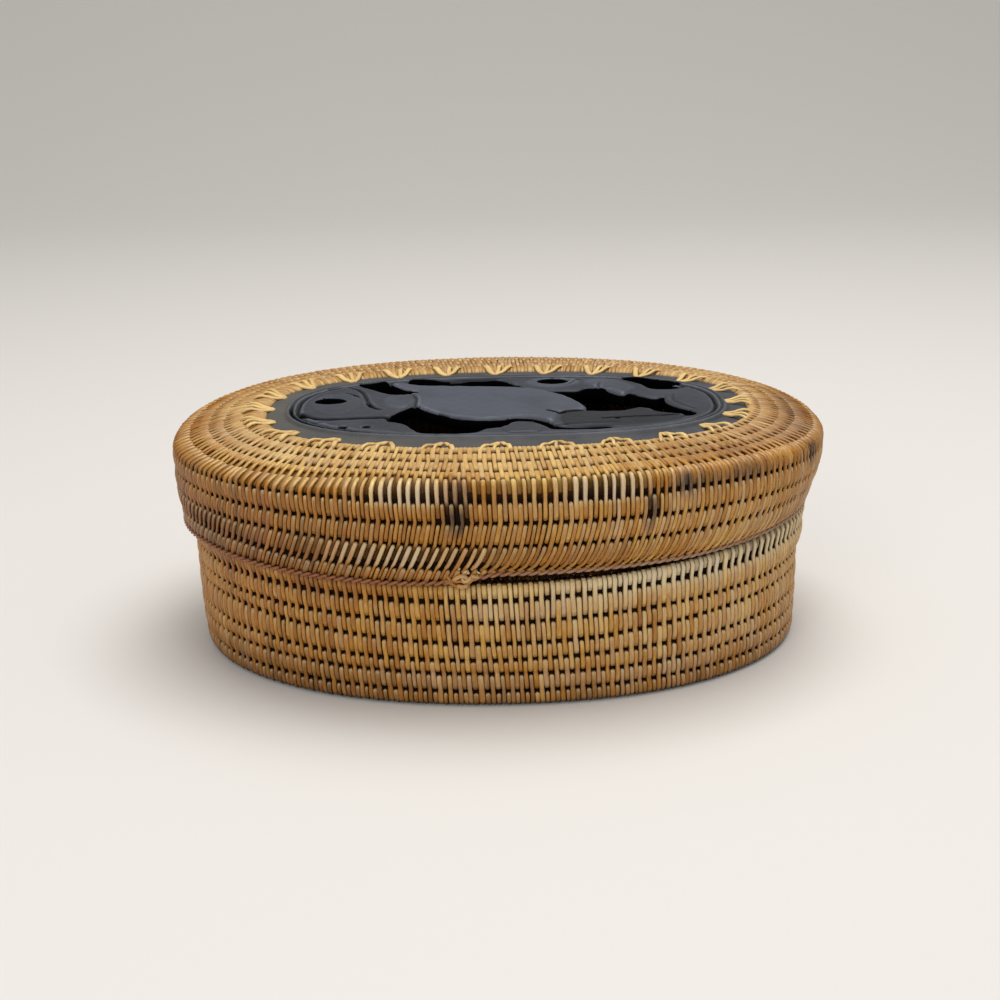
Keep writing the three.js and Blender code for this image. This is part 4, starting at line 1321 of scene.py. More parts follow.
KNOT_LOOPS = (
    Loop(((-15.8, 41.6, .1), (-13.8, 40.9, .7), (-11.8, 39.9, 1.1), (-9.6, 39.8, .9)), .62, .4, .62),
    Loop(((-13.2, 40.8, .4), (-11.7, 42.4, 1.1), (-9.9, 43.1, 1.3), (-8.7, 42.2, 1.2), (-9.3, 41, .6)),
         .7, .62, .42),
    Loop(((-12.2, 40.6, .2), (-10.8, 41.4, .7), (-9.4, 41.2, .5)), .8, .12, .5),
    Loop(((-13.4, 41.9, .6), (-11.8, 41.4, 1.4), (-10.4, 41.5, 1.5), (-9, 40.7, 1.2)), .42, .45, .5),
    Loop(((-10.4, 42.6, 1), (-9.4, 41.6, 1.9), (-8.2, 41.9, 1.5), (-7.4, 43.1, .8)), .48, .7, .4),
    Loop(((-11.7, 40.1, 1.2), (-10, 39.8, 1.5), (-8.4, 40.2, 1.1)), .7, .7, .68),
    Loop(((-9.3, 40, 1), (-7.9, 41.3, 1.2), (-6.3, 42.7, .9), (-5.2, 43.4, .3)), .62, .48, .5),
    Loop(((-7.6, 43.2, .8), (-6.6, 42.9, 1.2), (-5.2, 42.6, .8), (-3.6, 43.4, .2)), .5, .6, .35),
    Loop(((-7, 45.6, .2), (-6, 44.4, .7), (-4.4, 43.5, .4)), .32, .85, .15),
    Loop(((-11.2, 47.4, .1), (-11.4, 45.8, .6), (-10.6, 44.8, .3)), .5, .72, .25),
    Loop(((-10, 43.4, .6), (-8.9, 44.5, .9), (-7.9, 43.6, .7)), .45, .72, .2),
    Loop(((-15.4, 43.4, .1), (-14, 42.2, .6), (-13.4, 40.9, .4)), .5, .55, .6),
)


@dataclass
class RimKnot:
    """The small tangle at the front where the rim's cord is tied off.

    The box's way round is a number of its half lengths.
    """

    lid: WovenLid
    inset: float = 4.9
    lift: float = 0.6
    steps: int = 24
    way_round: float = 5.4

    def build(self, finishes: "Finishes") -> None:
        """Makes each strand as a tube along a smooth curve through its points."""
        parts = []
        length = self.lid.rows.rings.half_length * self.way_round
        for loop in KNOT_LOOPS:
            knots = np.array(loop.line)
            knots = np.concatenate([2 * knots[:1] - knots[1:2], knots, 2 * knots[-1:] - knots[-2:-1]])
            t = np.linspace(0, len(knots) - 3.0001, self.steps)
            step = t.astype(int)
            t = (t - step)[:, None]
            a, b, c, d = (knots[step + i] for i in range(4))
            line = 0.5 * (2 * b + (c - a) * t + (2 * a - 5 * b + 4 * c - d) * t**2
                          + (3 * b - a - 3 * c + d) * t**3)
            line[:, 1] += self.lift
            x, y = self.lid.rows.rings.point(line[:, 0] / length, self.inset - line[:, 2])
            path = np.stack([x + self.lid.shift_at(line[:, 1]), y, line[:, 1]], -1)
            end = np.sin(np.pi * np.clip(np.linspace(0.04, 0.96, self.steps), 0, 1))
            radius = loop.radius * np.minimum(1, end * 2.2)
            tone = np.zeros((1, self.steps, 4))
            tone[..., 0] = loop.tone
            tone[..., 1] = loop.warmth
            parts.append(tube(path[None], radius, tone, closed=False))
        make_piece(
            "lid_rim_knot", MeshData.joined(parts), Body.LID, Slot.BRAID, finishes.knot_cane,
            ("lid_rim_finish",))


# Materials


class NodeSheet:
    """A short way to lay out the nodes of a tree."""

    def __init__(self, tree: bpy.types.NodeTree) -> None:
        """Takes the tree as it is."""
        self.tree = tree

    def add(self, kind: str, inputs: dict | None = None, **settings: object) -> bpy.types.Node:
        """Adds a node with its settings and inputs, where an input is a value or a socket."""
        node = self.tree.nodes.new(kind)
        for key, value in settings.items():
            setattr(node, key, value)
        for key, value in (inputs or {}).items():
            self.feed(node.inputs[key], value)
        return node

    def feed(self, socket: bpy.types.NodeSocket, value: object) -> None:
        """Links a socket or sets a value."""
        if isinstance(value, bpy.types.NodeSocket):
            self.tree.links.new(value, socket)
        else:
            socket.default_value = value

    def ramp(self, factor: object, stops: list[tuple[float, tuple[float, float, float]]]) -> object:
        """A colour ramp's output; colours are linear."""
        node = self.add("ShaderNodeValToRGB", {"Fac": factor})
        elements = node.color_ramp.elements
        while len(elements) < len(stops):
            elements.new(0.5)
        for element, (place, colour) in zip(elements, stops):
            element.position = place
            element.color = (*colour, 1.0)
        return node.outputs[0]

    def mix(self, factor: object, a: object, b: object, blend: str = "MIX") -> object:
        """Two colours mixed."""
        node = self.add("ShaderNodeMix", data_type="RGBA", blend_type=blend)
        for index, value in ((0, factor), (6, a), (7, b)):
            if isinstance(value, tuple) and len(value) == 3:
                value = (*value, 1.0)
            self.feed(node.inputs[index], value)
        return node.outputs[2]

    def math(self, operation: str, a: object, b: object = 0.0, clamp: bool = False) -> object:
        """Two values joined by a sum, product or the like."""
        node = self.add("ShaderNodeMath", operation=operation, use_clamp=clamp)
        self.feed(node.inputs[0], a)
        self.feed(node.inputs[1], b)
        return node.outputs[0]


class MaterialSheet(NodeSheet):
    """A material with a Principled BSDF and its output."""

    def __init__(self, name: str) -> None:
        """Starts the material."""
        self.material = bpy.data.materials.new(name)
        self.material.use_nodes = True
        super().__init__(self.material.node_tree)
        self.tree.nodes.clear()
        self.shader = self.tree.nodes.new("ShaderNodeBsdfPrincipled")
        output = self.tree.nodes.new("ShaderNodeOutputMaterial")
        self.tree.links.new(self.shader.outputs[0], output.inputs[0])

    def tone(self) -> tuple[bpy.types.NodeSocket, ...]:
        """The four values of the piece's own attribute."""
        node = self.add("ShaderNodeAttribute", attribute_name="tone")
        values = self.add("ShaderNodeSeparateColor", {"Color": node.outputs["Color"]})
        return (*values.outputs[:3], node.outputs["Alpha"])

    def group(self, tree: bpy.types.NodeTree, inputs: dict) -> bpy.types.bpy_prop_collection:
        """The outputs of a node group, placed with this material's own values."""
        return self.add("ShaderNodeGroup", inputs, node_tree=tree).outputs

    def bump(self, height: object, strength: float, distance: float) -> None:
        """Feeds the shader's normal from a bump."""
        node = self.add(
            "ShaderNodeBump", {"Height": height, "Strength": strength, "Distance": distance})
        self.feed(self.shader.inputs["Normal"], node.outputs[0])


class GroupSheet(NodeSheet):
    """A shader node group with named inputs and outputs."""

    def __init__(self, name: str, inputs: dict[str, str], outputs: dict[str, str]) -> None:
        """Starts the group.

        Args:
            name: The group's name.
            inputs: The kind of each input, by its name.
            outputs: The kind of each output, by its name.
        """
        super().__init__(bpy.data.node_groups.new(name, "ShaderNodeTree"))
        for side, sockets in (("INPUT", inputs), ("OUTPUT", outputs)):
            for label, kind in sockets.items():
                self.tree.interface.new_socket(
                    name=label, in_out=side, socket_type="NodeSocket" + kind)
        self.given = self.tree.nodes.new("NodeGroupInput").outputs
        self.result = self.tree.nodes.new("NodeGroupOutput").inputs


def grain_group() -> bpy.types.NodeTree:
    """Grain along a strip: fine streaks and broad blotches, added to the strip's tone."""
    inputs = {"Tone": "Float", "Streaks": "Float", "Blotches": "Float"}
    sheet = GroupSheet("cane_grain", inputs, {"Level": "Float", "Height": "Float"})
    uv = sheet.add("ShaderNodeUVMap", uv_map="strip")
    level, noises = sheet.given["Tone"], []
    for label, stretch, detail in (
        ("Streaks", (5.0, 1.6, 1.0), 3.0), ("Blotches", (0.7, 1.4, 1.0), 2.0),
    ):
        place = sheet.add("ShaderNodeMapping", {"Vector": uv.outputs[0], "Scale": stretch})
        noise = sheet.add(
            "ShaderNodeTexNoise", {"Vector": place.outputs[0], "Scale": 2.0, "Detail": detail})
        swing = sheet.math("SUBTRACT", noise.outputs[0], 0.5)
        level = sheet.math("ADD", level, sheet.math("MULTIPLY", swing, sheet.given[label]))
        noises.append(noise)
    sheet.feed(sheet.result["Height"], noises[0].outputs[0])
    sheet.feed(sheet.result["Level"], level)
    return sheet.tree


def tint_group() -> bpy.types.NodeTree:
    """Cane's colour turned warm or cool, paler on its cut ends, partly as a painted highlight,
    and darkened by painted shade in the holes.
    """
    inputs = {"Base": "Color", "Level": "Float", "Warmth": "Float", "Shade": "Float",
              "Cap": "Float", "Warm": "Color", "Cool": "Color"}
    sheet = GroupSheet("cane_tint", inputs, {"Colour": "Color"})
    given = sheet.given
    brightness = sheet.math("MULTIPLY", given["Level"], 1.6, True)
    warm = sheet.math("MULTIPLY", sheet.math("SUBTRACT", given["Warmth"], 0.5, True), 1.3)
    cool = sheet.math(
        "MULTIPLY", sheet.math("SUBTRACT", 0.5, given["Warmth"], True),
        sheet.math("MULTIPLY", brightness, 1.3))
    colour = sheet.mix(warm, given["Base"], given["Warm"])
    colour = sheet.mix(cool, colour, given["Cool"])
    # The pale cut ends: partly their own colour, partly a painted highlight.
    colour = sheet.mix(sheet.math("MULTIPLY", given["Cap"], 0.4), colour, linear(228, 208, 160))
    # Painted shade: holes, sunk strips, gaps and the gap under the lid's rim.
    colour = sheet.mix(sheet.math("MULTIPLY", given["Shade"], 0.9), colour, linear(30, 14, 7))
    sheet.feed(sheet.result["Colour"], colour)
    return sheet.tree


def mottle_group() -> bpy.types.NodeTree:
    """Soft specks on a piece's own coordinates, which may be stretched into a grain."""
    inputs = {"Stretch": "Vector", "Scale": "Float", "Detail": "Float"}
    sheet = GroupSheet("mottle", inputs, {"Amount": "Float"})
    spot = sheet.add("ShaderNodeTexCoord").outputs["Object"]
    place = sheet.add("ShaderNodeMapping", {"Vector": spot, "Scale": sheet.given["Stretch"]})
    noise = sheet.add("ShaderNodeTexNoise", {
        "Vector": place.outputs[0], "Scale": sheet.given["Scale"], "Detail": sheet.given["Detail"]})
    sheet.feed(sheet.result["Amount"], noise.outputs[0])
    return sheet.tree


@dataclass(frozen=True)
class Effects:
    """The node groups that several materials share, each built once."""

    grain: bpy.types.NodeTree
    tint: bpy.types.NodeTree
    mottle: bpy.types.NodeTree


def linear_part(value: float) -> float:
    """One part of a screen colour, from 0 to 1, made linear."""
    return value / 12.92 if value <= 0.04045 else ((value + 0.055) / 1.055) ** 2.4


def linear(red: int, green: int, blue: int) -> tuple[float, float, float]:
    """A screen colour from 0 to 255 as the linear colour that nodes take."""
    return tuple(linear_part(value / 255) for value in (red, green, blue))


@dataclass(frozen=True)
class CaneFinish:
    """Split, polished cane: a tone for each strip, grain along it, painted shade in the holes."""

    name: str
    dark: tuple[int, int, int] = (46, 24, 10)
    middle: tuple[int, int, int] = (172, 113, 27)
    light: tuple[int, int, int] = (238, 198, 102)
    warm: tuple[int, int, int] = (156, 76, 34)
    cool: tuple[int, int, int] = (212, 200, 176)
    roughness: float = 0.34
    sheen: float = 0.5

    def material(self, effects: Effects) -> bpy.types.Material:
        """The finish as nodes: ramp by tone, tinted by warmth, streaked, shade painted in holes."""
        sheet = MaterialSheet(self.name)
        tone, warmth, shade, cap = sheet.tone()
        grain = sheet.group(effects.grain, {"Tone": tone, "Streaks": 0.5, "Blotches": 0.3})
        base = sheet.ramp(grain["Level"], [
            (0.05, linear(*self.dark)), (0.5, linear(*self.middle)), (0.95, linear(*self.light))])
        tinted = sheet.group(effects.tint, {
            "Base": base, "Level": grain["Level"], "Warmth": warmth, "Shade": shade, "Cap": cap,
            "Warm": (*linear(*self.warm), 1.0), "Cool": (*linear(*self.cool), 1.0)})
        sheet.feed(sheet.shader.inputs["Base Color"], tinted["Colour"])
        sheet.shader.inputs["Roughness"].default_value = self.roughness
        # Painted shade also takes away the sheen.
        sheen = sheet.math("SUBTRACT", self.sheen, sheet.math("MULTIPLY", shade, self.sheen), True)
        sheet.feed(sheet.shader.inputs["Specular IOR Level"], sheen)
        sheet.bump(grain["Height"], 0.35, 0.0002)
        return sheet.material


UNSTRETCHED = (1.0, 1.0, 1.0)


@dataclass(frozen=True)
class ShadowCaneFinish:
    """The bundle inside the rows, seen only in holes: dark red-brown, painted paler under the top."""

    name: str = "shadow_cane"

    def material(self, effects: Effects) -> bpy.types.Material:
        """The finish as nodes."""
        sheet = MaterialSheet(self.name)
        noise = sheet.group(effects.mottle, {"Stretch": UNSTRETCHED, "Scale": 300.0, "Detail": 3.0})
        colour = sheet.ramp(noise["Amount"], [(0.35, linear(14, 7, 5)), (0.7, linear(40, 20, 11))])
        # Painted light: paler under the lid's top rows, by the attribute's first value.
        colour = sheet.mix(sheet.tone()[0], colour, linear(122, 80, 42))
        sheet.feed(sheet.shader.inputs["Base Color"], colour)
        sheet.shader.inputs["Roughness"].default_value = 0.9
        sheet.shader.inputs["Specular IOR Level"].default_value = 0.1
        return sheet.material


@dataclass(frozen=True)
class InnerCaneFinish:
    """Cane in the box, dark as painted shade: coil rows one in another, wrapped by cross strips."""

    name: str = "inner_cane"
    rows_per_metre: float = 150.0
    strips: float = 150.0
    dark: tuple[int, int, int] = (30, 17, 8)
    light: tuple[int, int, int] = (84, 56, 28)

    def material(self, effects: Effects) -> bpy.types.Material:
        """The finish as nodes: a wave across the rows and a wave round the box, and blotches."""
        sheet = MaterialSheet(self.name)
        place = sheet.add("ShaderNodeTexCoord")
        x, y, z = sheet.add("ShaderNodeSeparateXYZ", {"Vector": place.outputs["Object"]}).outputs
        turn = sheet.math("ARCTAN2", y, x)
        round_wave = sheet.math("SINE", sheet.math("MULTIPLY", turn, self.strips))
        far = sheet.math("SQRT", sheet.math(
            "ADD", sheet.math("MULTIPLY", x, sheet.math("MULTIPLY", x, 0.58)),
            sheet.math("MULTIPLY", y, y)))
        across = sheet.math("ADD", far, z)
        row_wave = sheet.math("SINE", sheet.math("MULTIPLY", across, 2 * math.pi * self.rows_per_metre))
        waves = sheet.math("ADD", sheet.math("MULTIPLY", round_wave, 0.2), sheet.math(
            "MULTIPLY", row_wave, 0.25))
        noise = sheet.group(effects.mottle, {"Stretch": UNSTRETCHED, "Scale": 220.0, "Detail": 4.0})
        level = sheet.math("ADD", waves, noise["Amount"])
        colour = sheet.ramp(level, [(0.15, linear(*self.dark)), (0.95, linear(*self.light))])
        sheet.feed(sheet.shader.inputs["Base Color"], colour)
        sheet.shader.inputs["Roughness"].default_value = 0.55
        sheet.bump(waves, 0.8, 0.0008)
        return sheet.material


@dataclass(frozen=True)
class CarvedWoodFinish:
    """Blackened, matt wood: paler on ridges, as wear and painted highlight, and black in its
    grooves as painted shade, and black on its cut sides.

    It reads the piece's attribute: relief at 0.5 where the surface is even, 0 in a groove and 1
    on a ridge, painting shade and highlight; how black painted shade makes a point; how bright
    the point is painted, as painted light; and how dusty it is.
    """

    name: str = "carved_wood"
    black: tuple[int, int, int] = (9, 9, 10)
    slate: tuple[int, int, int] = (72, 76, 86)
    # Ridges' colour: partly real wear, partly painted highlight.
    worn: tuple[int, int, int] = (120, 124, 130)
    # On the panel this is the colour where the flange is dusty.
    dust_and_painted_light: tuple[int, int, int] = (94, 88, 76)
    roughness: float = 0.6
    gloss: float = 0.25

    def material(self, effects: Effects) -> bpy.types.Material:
        """The finish as nodes."""
        sheet = MaterialSheet(self.name)
        relief, black, painted_light_level, dusty = sheet.tone()
        grain = sheet.group(
            effects.mottle, {"Stretch": (1.0, 4.0, 4.0), "Scale": 160.0, "Detail": 6.0})["Amount"]
        cloud = sheet.group(
            effects.mottle, {"Stretch": UNSTRETCHED, "Scale": 60.0, "Detail": 5.0})["Amount"]
        level = sheet.math("ADD", relief, sheet.math(
            "MULTIPLY", sheet.math("SUBTRACT", grain, 0.5), 0.22))
        # Painted shade and highlight: hollows go black, ridges pale towards the worn colour, partly real
        # wear.
        colour = sheet.ramp(level, [
            (0.0, linear(*self.black)), (0.42, linear(*self.slate)), (0.58, linear(*self.slate)),
            (1.0, linear(*self.worn))])
        # Painted light: each form painted lighter or darker for how the light falls on it.
        shading = sheet.math("MULTIPLY", painted_light_level, sheet.math("ADD", cloud, 0.5))
        greys = sheet.ramp(shading, [(0.0, (0.0,) * 3), (1.0, (1.0,) * 3)])
        colour = sheet.mix(1.0, colour, greys, "MULTIPLY")
        colour = sheet.mix(sheet.math("MULTIPLY", dusty, cloud), colour, linear(*self.dust_and_painted_light))
        # Painted shade: the grooves and the hollows by the ridge go black.
        colour = sheet.mix(black, colour, linear(*self.black))
        sheet.feed(sheet.shader.inputs["Base Color"], colour)
        sheet.shader.inputs["Roughness"].default_value = self.roughness
        # No sheen where painted shade makes it black.
        lit = sheet.math("SUBTRACT", 1.0, black, True)
        sheet.feed(sheet.shader.inputs["Specular IOR Level"], sheet.math("MULTIPLY", lit, self.gloss))
        sheet.bump(grain, 0.4, 0.0004)
        return sheet.material


class Finishes:
    """All finishes, made once."""

    def __init__(self) -> None:
        """Builds the shared effects and each material."""
        effects = Effects(grain_group(), tint_group(), mottle_group())
        self.base_cane = CaneFinish("base_cane").material(effects)
        self.side_cane = CaneFinish("side_cane").material(effects)
        self.top_cane = CaneFinish(
            "top_cane", middle=(166, 117, 50), light=(230, 194, 120), roughness=0.5).material(effects)
        self.braid = CaneFinish(
            "braid_cane", middle=(138, 86, 52), light=(204, 166, 120)).material(effects)
        self.knot_cane = CaneFinish("knot_cane", light=(226, 196, 140)).material(effects)
        self.shadow_cane = ShadowCaneFinish().material(effects)
        self.inner_cane = InnerCaneFinish().material(effects)
        self.wood = CarvedWoodFinish().material(effects)


# Studio


@dataclass
class Studio:
    """Camera, pale floor and soft light."""

    focal_pixels: float = 1650.0
    image_pixels: float = 1000.0
    sensor: float = 36.0
    pitch: float = 17.454
    roll: float = -0.825
    turn: float = -0.889
    place: tuple[float, float, float] = (0.286, -536.95, 211.18)
    floor_size: float = 6.0
    wall_at: float = 2.2
    bend: float = 1.2
    floor_gap: float = 0.0005

    def camera(self) -> None:
        """A level-headed camera: turned about Z, tipped down by the pitch, then rolled."""
        data = bpy.data.cameras.new("photo_camera")
        data.sensor_width = self.sensor
        data.lens = self.focal_pixels / self.image_pixels * self.sensor
        data.clip_start = 0.01
        data.clip_end = 50.0
        camera = bpy.data.objects.new("photo_camera", data)
        bpy.context.scene.collection.objects.link(camera)
        turn = Matrix.Rotation(math.radians(self.turn), 4, "Z")
        tip = Matrix.Rotation(math.radians(90 - self.pitch), 4, "X")
        roll = Matrix.Rotation(math.radians(self.roll), 4, "Z")
        spot = turn @ (Vector(self.place) * MM)
        camera.matrix_world = Matrix.Translation(spot) @ turn @ tip @ roll
        bpy.context.scene.camera = camera

    def floor(self) -> None:
        """A pale plain floor, a hair under the box, that curves up into a wall behind it."""
        mesh = bpy.data.meshes.new("floor")
        half, bend, steps = self.floor_size / 2, self.bend, 24
        turn = np.linspace(0, np.pi / 2, steps)
        depth = np.concatenate([[-half], self.wall_at - bend + bend * np.sin(turn), [self.wall_at]])
        height = np.concatenate([[0.0], bend - bend * np.cos(turn), [half]]) - self.floor_gap
        points = [(side * half, y, z) for y, z in zip(depth, height) for side in (-1, 1)]
        faces = [(2 * i, 2 * i + 1, 2 * i + 3, 2 * i + 2) for i in range(len(depth) - 1)]
        mesh.from_pydata(points, [], faces)
        mesh.polygons.foreach_set("use_smooth", np.ones(len(faces), dtype=bool))
        floor = bpy.data.objects.new("floor", mesh)
        bpy.context.scene.collection.objects.link(floor)
        sheet = MaterialSheet("floor")
        sheet.shader.inputs["Base Color"].default_value = (*linear(224, 220, 214), 1.0)
        sheet.shader.inputs["Roughness"].default_value = 0.7
        mesh.materials.append(sheet.material)

    def lamp(self, name: str, place: tuple[float, float, float], size: float, power: float) -> None:
        """A square soft lamp that faces the box.

        Args:
            name: The lamp's name.
            place: Where it hangs, in metres.
            size: The length of its sides, in metres.
            power: Its power, in watts.
        """
        data = bpy.data.lights.new(name, "AREA")
        data.size = size
        data.energy = power
        lamp = bpy.data.objects.new(name, data)
        bpy.context.scene.collection.objects.link(lamp)
        lamp.location = place
        aim = Vector((0, 0, 0.04)) - Vector(place)
        lamp.rotation_euler = aim.to_track_quat("-Z", "Y").to_euler()

    def world(self, strength: float) -> None:
        """An even, white surround."""
        world = bpy.data.worlds.new("surround")
        bpy.context.scene.world = world
        world.use_nodes = True
        background = world.node_tree.nodes["Background"]
        background.inputs[0].default_value = (1.0, 1.0, 1.0, 1.0)
        background.inputs[1].default_value = strength

    def build(self) -> None:
        """Sets the camera, the floor and the lamps."""
        bpy.context.scene.view_settings.view_transform = "Standard"
        self.camera()
        self.floor()
        self.world(strength=0.5)
        self.lamp("key", place=(0.15, 0.1, 1.15), size=0.8, power=10.0)
        self.lamp("fill", place=(-0.35, -0.95, 0.6), size=0.5, power=2.5)


# Carved panel


Point = tuple[float, float]


def knot_gap(a: Array, b: Array) -> Array:
    """The square root of the distance between points, for steps along a spline."""
    return np.sqrt(np.linalg.norm(b - a, axis=1))[:, None, None] + 1e-9


def blended(t: Array, a: Array, b: Array, low: Array, high: Array) -> Array:
    """From a to b in a straight line, as t runs from low to high."""
    return ((high - t) * a + (t - low) * b) / (high - low)


@dataclass(frozen=True)
class Outline:
    """A smooth outline of the figure, through points that are shares of the carved field."""

    points: tuple[Point, ...]
    closed: bool = True
    steps: int = 6

    def path(self, field_half: Point, centre: Point) -> Array:
        """Points of a centripetal spline through the outline's own, in millimetres.

        Between two points each step is blended from straight lines three times over, with knots
        a square root of the distance apart.

        Args:
            field_half: Half sizes of the carved field.
            centre: Its middle.

        Returns:
            The points, row by row.
        """
        knots = np.array(self.points) * np.array(field_half) + np.array(centre)
        if self.closed:
            knots = np.concatenate([knots[-1:], knots, knots[:2]])
        else:
            knots = np.concatenate([2 * knots[:1] - knots[1:2], knots, 2 * knots[-1:] - knots[-2:-1]])
        p0, p1, p2, p3 = knots[:-3], knots[1:-2], knots[2:-1], knots[3:]
        t0 = np.zeros((len(p0), 1, 1))
        t1 = t0 + knot_gap(p0, p1)
        t2 = t1 + knot_gap(p1, p2)
        t3 = t2 + knot_gap(p2, p3)
        t = t1 + (t2 - t1) * (np.arange(self.steps) / self.steps)[None, :, None]
        a, b, c, d = (p[:, None, :] for p in (p0, p1, p2, p3))
        a1, a2, a3 = blended(t, a, b, t0, t1), blended(t, b, c, t1, t2), blended(t, c, d, t2, t3)
        b1, b2 = blended(t, a1, a2, t0, t2), blended(t, a2, a3, t1, t3)
        curve = blended(t, b1, b2, t1, t2).reshape(-1, 2)
        return curve if self.closed else np.concatenate([curve, knots[-2:-1]])


@dataclass(frozen=True)
class Ellipse:
    """An elliptical form of the figure: centre and radii as shares of the carved field."""

    centre: Point
    radii: Point
    closed: bool = True
    steps: int = 48

    def path(self, field_half: Point, centre: Point) -> Array:
        """Points once round the ellipse, in millimetres, in a field of these half sizes."""
        turn = 2 * np.pi * np.arange(self.steps) / self.steps
        middle = np.array(self.centre) * np.array(field_half) + np.array(centre)
        radii = np.array(self.radii) * np.array(field_half)
        return middle + np.stack([np.cos(turn), np.sin(turn)], -1) * radii


def distance_to(path: Array, x: Array, y: Array, closed: bool = True) -> Array:
    """How far points lie from a path, negative inside a closed one.

    The distance to each straight piece is the distance to its nearest point. A point is inside
    where a line from it to +X crosses the path an odd number of times.

    Args:
        path: The path's points.
        x: Where the points lie.
        y: The same, the other way.
        closed: Whether the path's end meets its start.

    Returns:
        The distances.
    """
    ends = np.roll(path, -1, 0) if closed else path[1:]
    starts = path if closed else path[:-1]
    best = np.full(x.shape, np.inf)
    inside = np.zeros(x.shape, dtype=bool)
    for (ax, ay), (bx, by) in zip(starts, ends):
        dx, dy = bx - ax, by - ay
        part = np.clip(((x - ax) * dx + (y - ay) * dy) / (dx * dx + dy * dy + 1e-12), 0, 1)
        best = np.minimum(best, (x - ax - part * dx) ** 2 + (y - ay - part * dy) ** 2)
        if closed:
            crosses = (ay > y) != (by > y)
            inside ^= crosses & (x < ax + (y - ay) * dx / (dy if dy else 1e-12))
    distance = np.sqrt(best)
    return np.where(inside, -distance, distance)


OPENINGS: tuple[Outline | Ellipse, ...] = (
    Outline(((-.73, .78), (-.59, .86), (-.55, .72), (-.5, .56), (-.42, .44), (-.46, .4), (-.56, .42),
             (-.66, .62))),
    Outline(((-.49, .9), (-.17, .93), (-.03, .91), (.05, .71), (.1, .58), (-.02, .61), (-.35, .69),
             (-.43, .72))),
    Outline(((.2, .44), (.35, .44), (.4, .54), (.48, .51), (.51, .36), (.57, .24), (.6, .32),
             (.66, .19), (.72, .1), (.76, .17), (.76, -.02), (.79, -.18), (.88, -.42), (.84, -.51),
             (.79, -.43), (.7, -.37), (.67, -.24), (.59, -.25), (.54, -.31), (.38, -.31),
             (.37, -.13), (.32, .12), (.27, .28))),
    Outline(((.59, .88), (.66, .87), (.75, .79), (.84, .69), (.88, .6), (.83, .57), (.88, .5),
             (.8, .43), (.72, .47), (.68, .64))),
    Outline(((-.44, -.03), (-.38, -.19), (-.29, -.38), (-.2, -.5), (-.03, -.53), (.02, -.49),
             (.08, -.49), (.13, -.54), (.18, -.64), (.22, -.77), (.29, -.82), (.46, -.82),
             (.46, -.87), (.29, -.89), (.2, -.87), (.16, -.75), (.11, -.65), (.04, -.62), (0, -.69),
             (-.01, -.76), (-.11, -.83), (-.16, -.94), (-.39, -.93), (-.44, -.79), (-.48, -.63),
             (-.56, -.51), (-.56, -.41), (-.51, -.19))),
    Ellipse((-.85, .18), (.078, .12)),
    Ellipse((.24, .79), (.079, .117)),
)
@dataclass(frozen=True)
class Form:
    """A rounded form of the figure, and how bright it is painted for the light on it."""

    outline: Outline | Ellipse
    painted_light_level: float


# Each form's number is how bright it is painted, as painted light.
FORMS = tuple(Form(outline, painted_light_level) for outline, painted_light_level in (
    (Outline(((-.56, .82), (-.52, .46), (-.45, .26), (-.43, -.03), (-.29, -.38), (-.11, -.54),
              (.05, -.47), (.14, -.52), (.2, -.66), (.24, -.4), (.36, -.28), (.36, -.08),
              (.26, .31), (.09, .56), (-.2, .66), (-.43, .72))), .98),
    (Outline(((.26, -.4), (.33, -.34), (.53, -.34), (.63, -.24), (.7, -.39), (.82, -.54),
              (.74, -.7), (.6, -.78), (.42, -.82), (.26, -.78))), .22),
    (Outline(((.4, .8), (.52, .84), (.64, .5), (.6, .36), (.57, .26), (.51, .4), (.42, .58))), .95),
    (Ellipse((.06, -.84), (.1, .2)), .5),
    (Ellipse((-.52, .12), (.075, .25)), .8),
    (Ellipse((-.82, .08), (.125, .4)), .6),
    (Ellipse((.24, .74), (.14, .2)), .85),
))


@dataclass(frozen=True)
class Groove:
    """A carved line: its points, width and depth, how high its worn lips stand, and how black
    painted shade makes it."""

    points: tuple[Point, ...]
    width: float = 0.55
    depth: float = 0.85
    lip: float = 0.16
    black: float = 0.6

    def outline(self) -> Outline:
        """The line as an open outline."""
        return Outline(self.points, False)


GROOVES: tuple[Groove, ...] = (
    Groove(((-.97, -.27), (-.92, -.38), (-.86, -.43), (-.73, -.42), (-.66, -.41), (-.58, -.4), (-.5, -.38)),
           1.3, 1.2, .05, 1),
    Groove(((-.87, .6), (-.8, .67), (-.745, .62), (-.71, .5), (-.68, .26), (-.66, .05)), .6, .5, .12, .6),
    Groove(((-.665, .08), (-.64, -.05), (-.605, -.13)), .8, 1.2, .06, 1),
    Groove(((-.84, .44), (-.79, .46), (-.757, .41), (-.725, .32)), .75, .6, .06, 1),
    Groove(((-.93, -.54), (-.82, -.6), (-.73, -.59), (-.62, -.62)), .4, .3, .2, .2),
    Groove(((.1, -.72), (.3, -.76), (.5, -.72)), .5, .3, .08, .3),
    Groove(((.36, -.3), (.28, -.33), (.24, -.38), (.19, -.3)), .7, .6, 0, 1),
    Groove(((.44, -.6), (.56, -.57), (.7, -.545), (.84, -.51)), .75, .6, .1, 1),
    Groove(((-.45, -.14), (-.435, .05), (-.44, .25), (-.47, .38), (-.53, .44)), .45, .4, .16, .3),
    Groove(((.5, .34), (.46, .5), (.47, .66)), .5, .3, .1, .2),
    Groove(((.81, .23), (.8, 0.), (.83, -.15), (.88, -.3)), .5, .25, .1, .15),
    Groove(((.32, .66), (.37, .84)), .6, .3, .1, .2),
)
SPOTS: tuple[Ellipse, ...] = (
    Ellipse((-.755, -.73), (.02, .035)),
    Ellipse((-.648, -.72), (.016, .04)),
    Ellipse((.5, -.62), (.008, .018)),
)


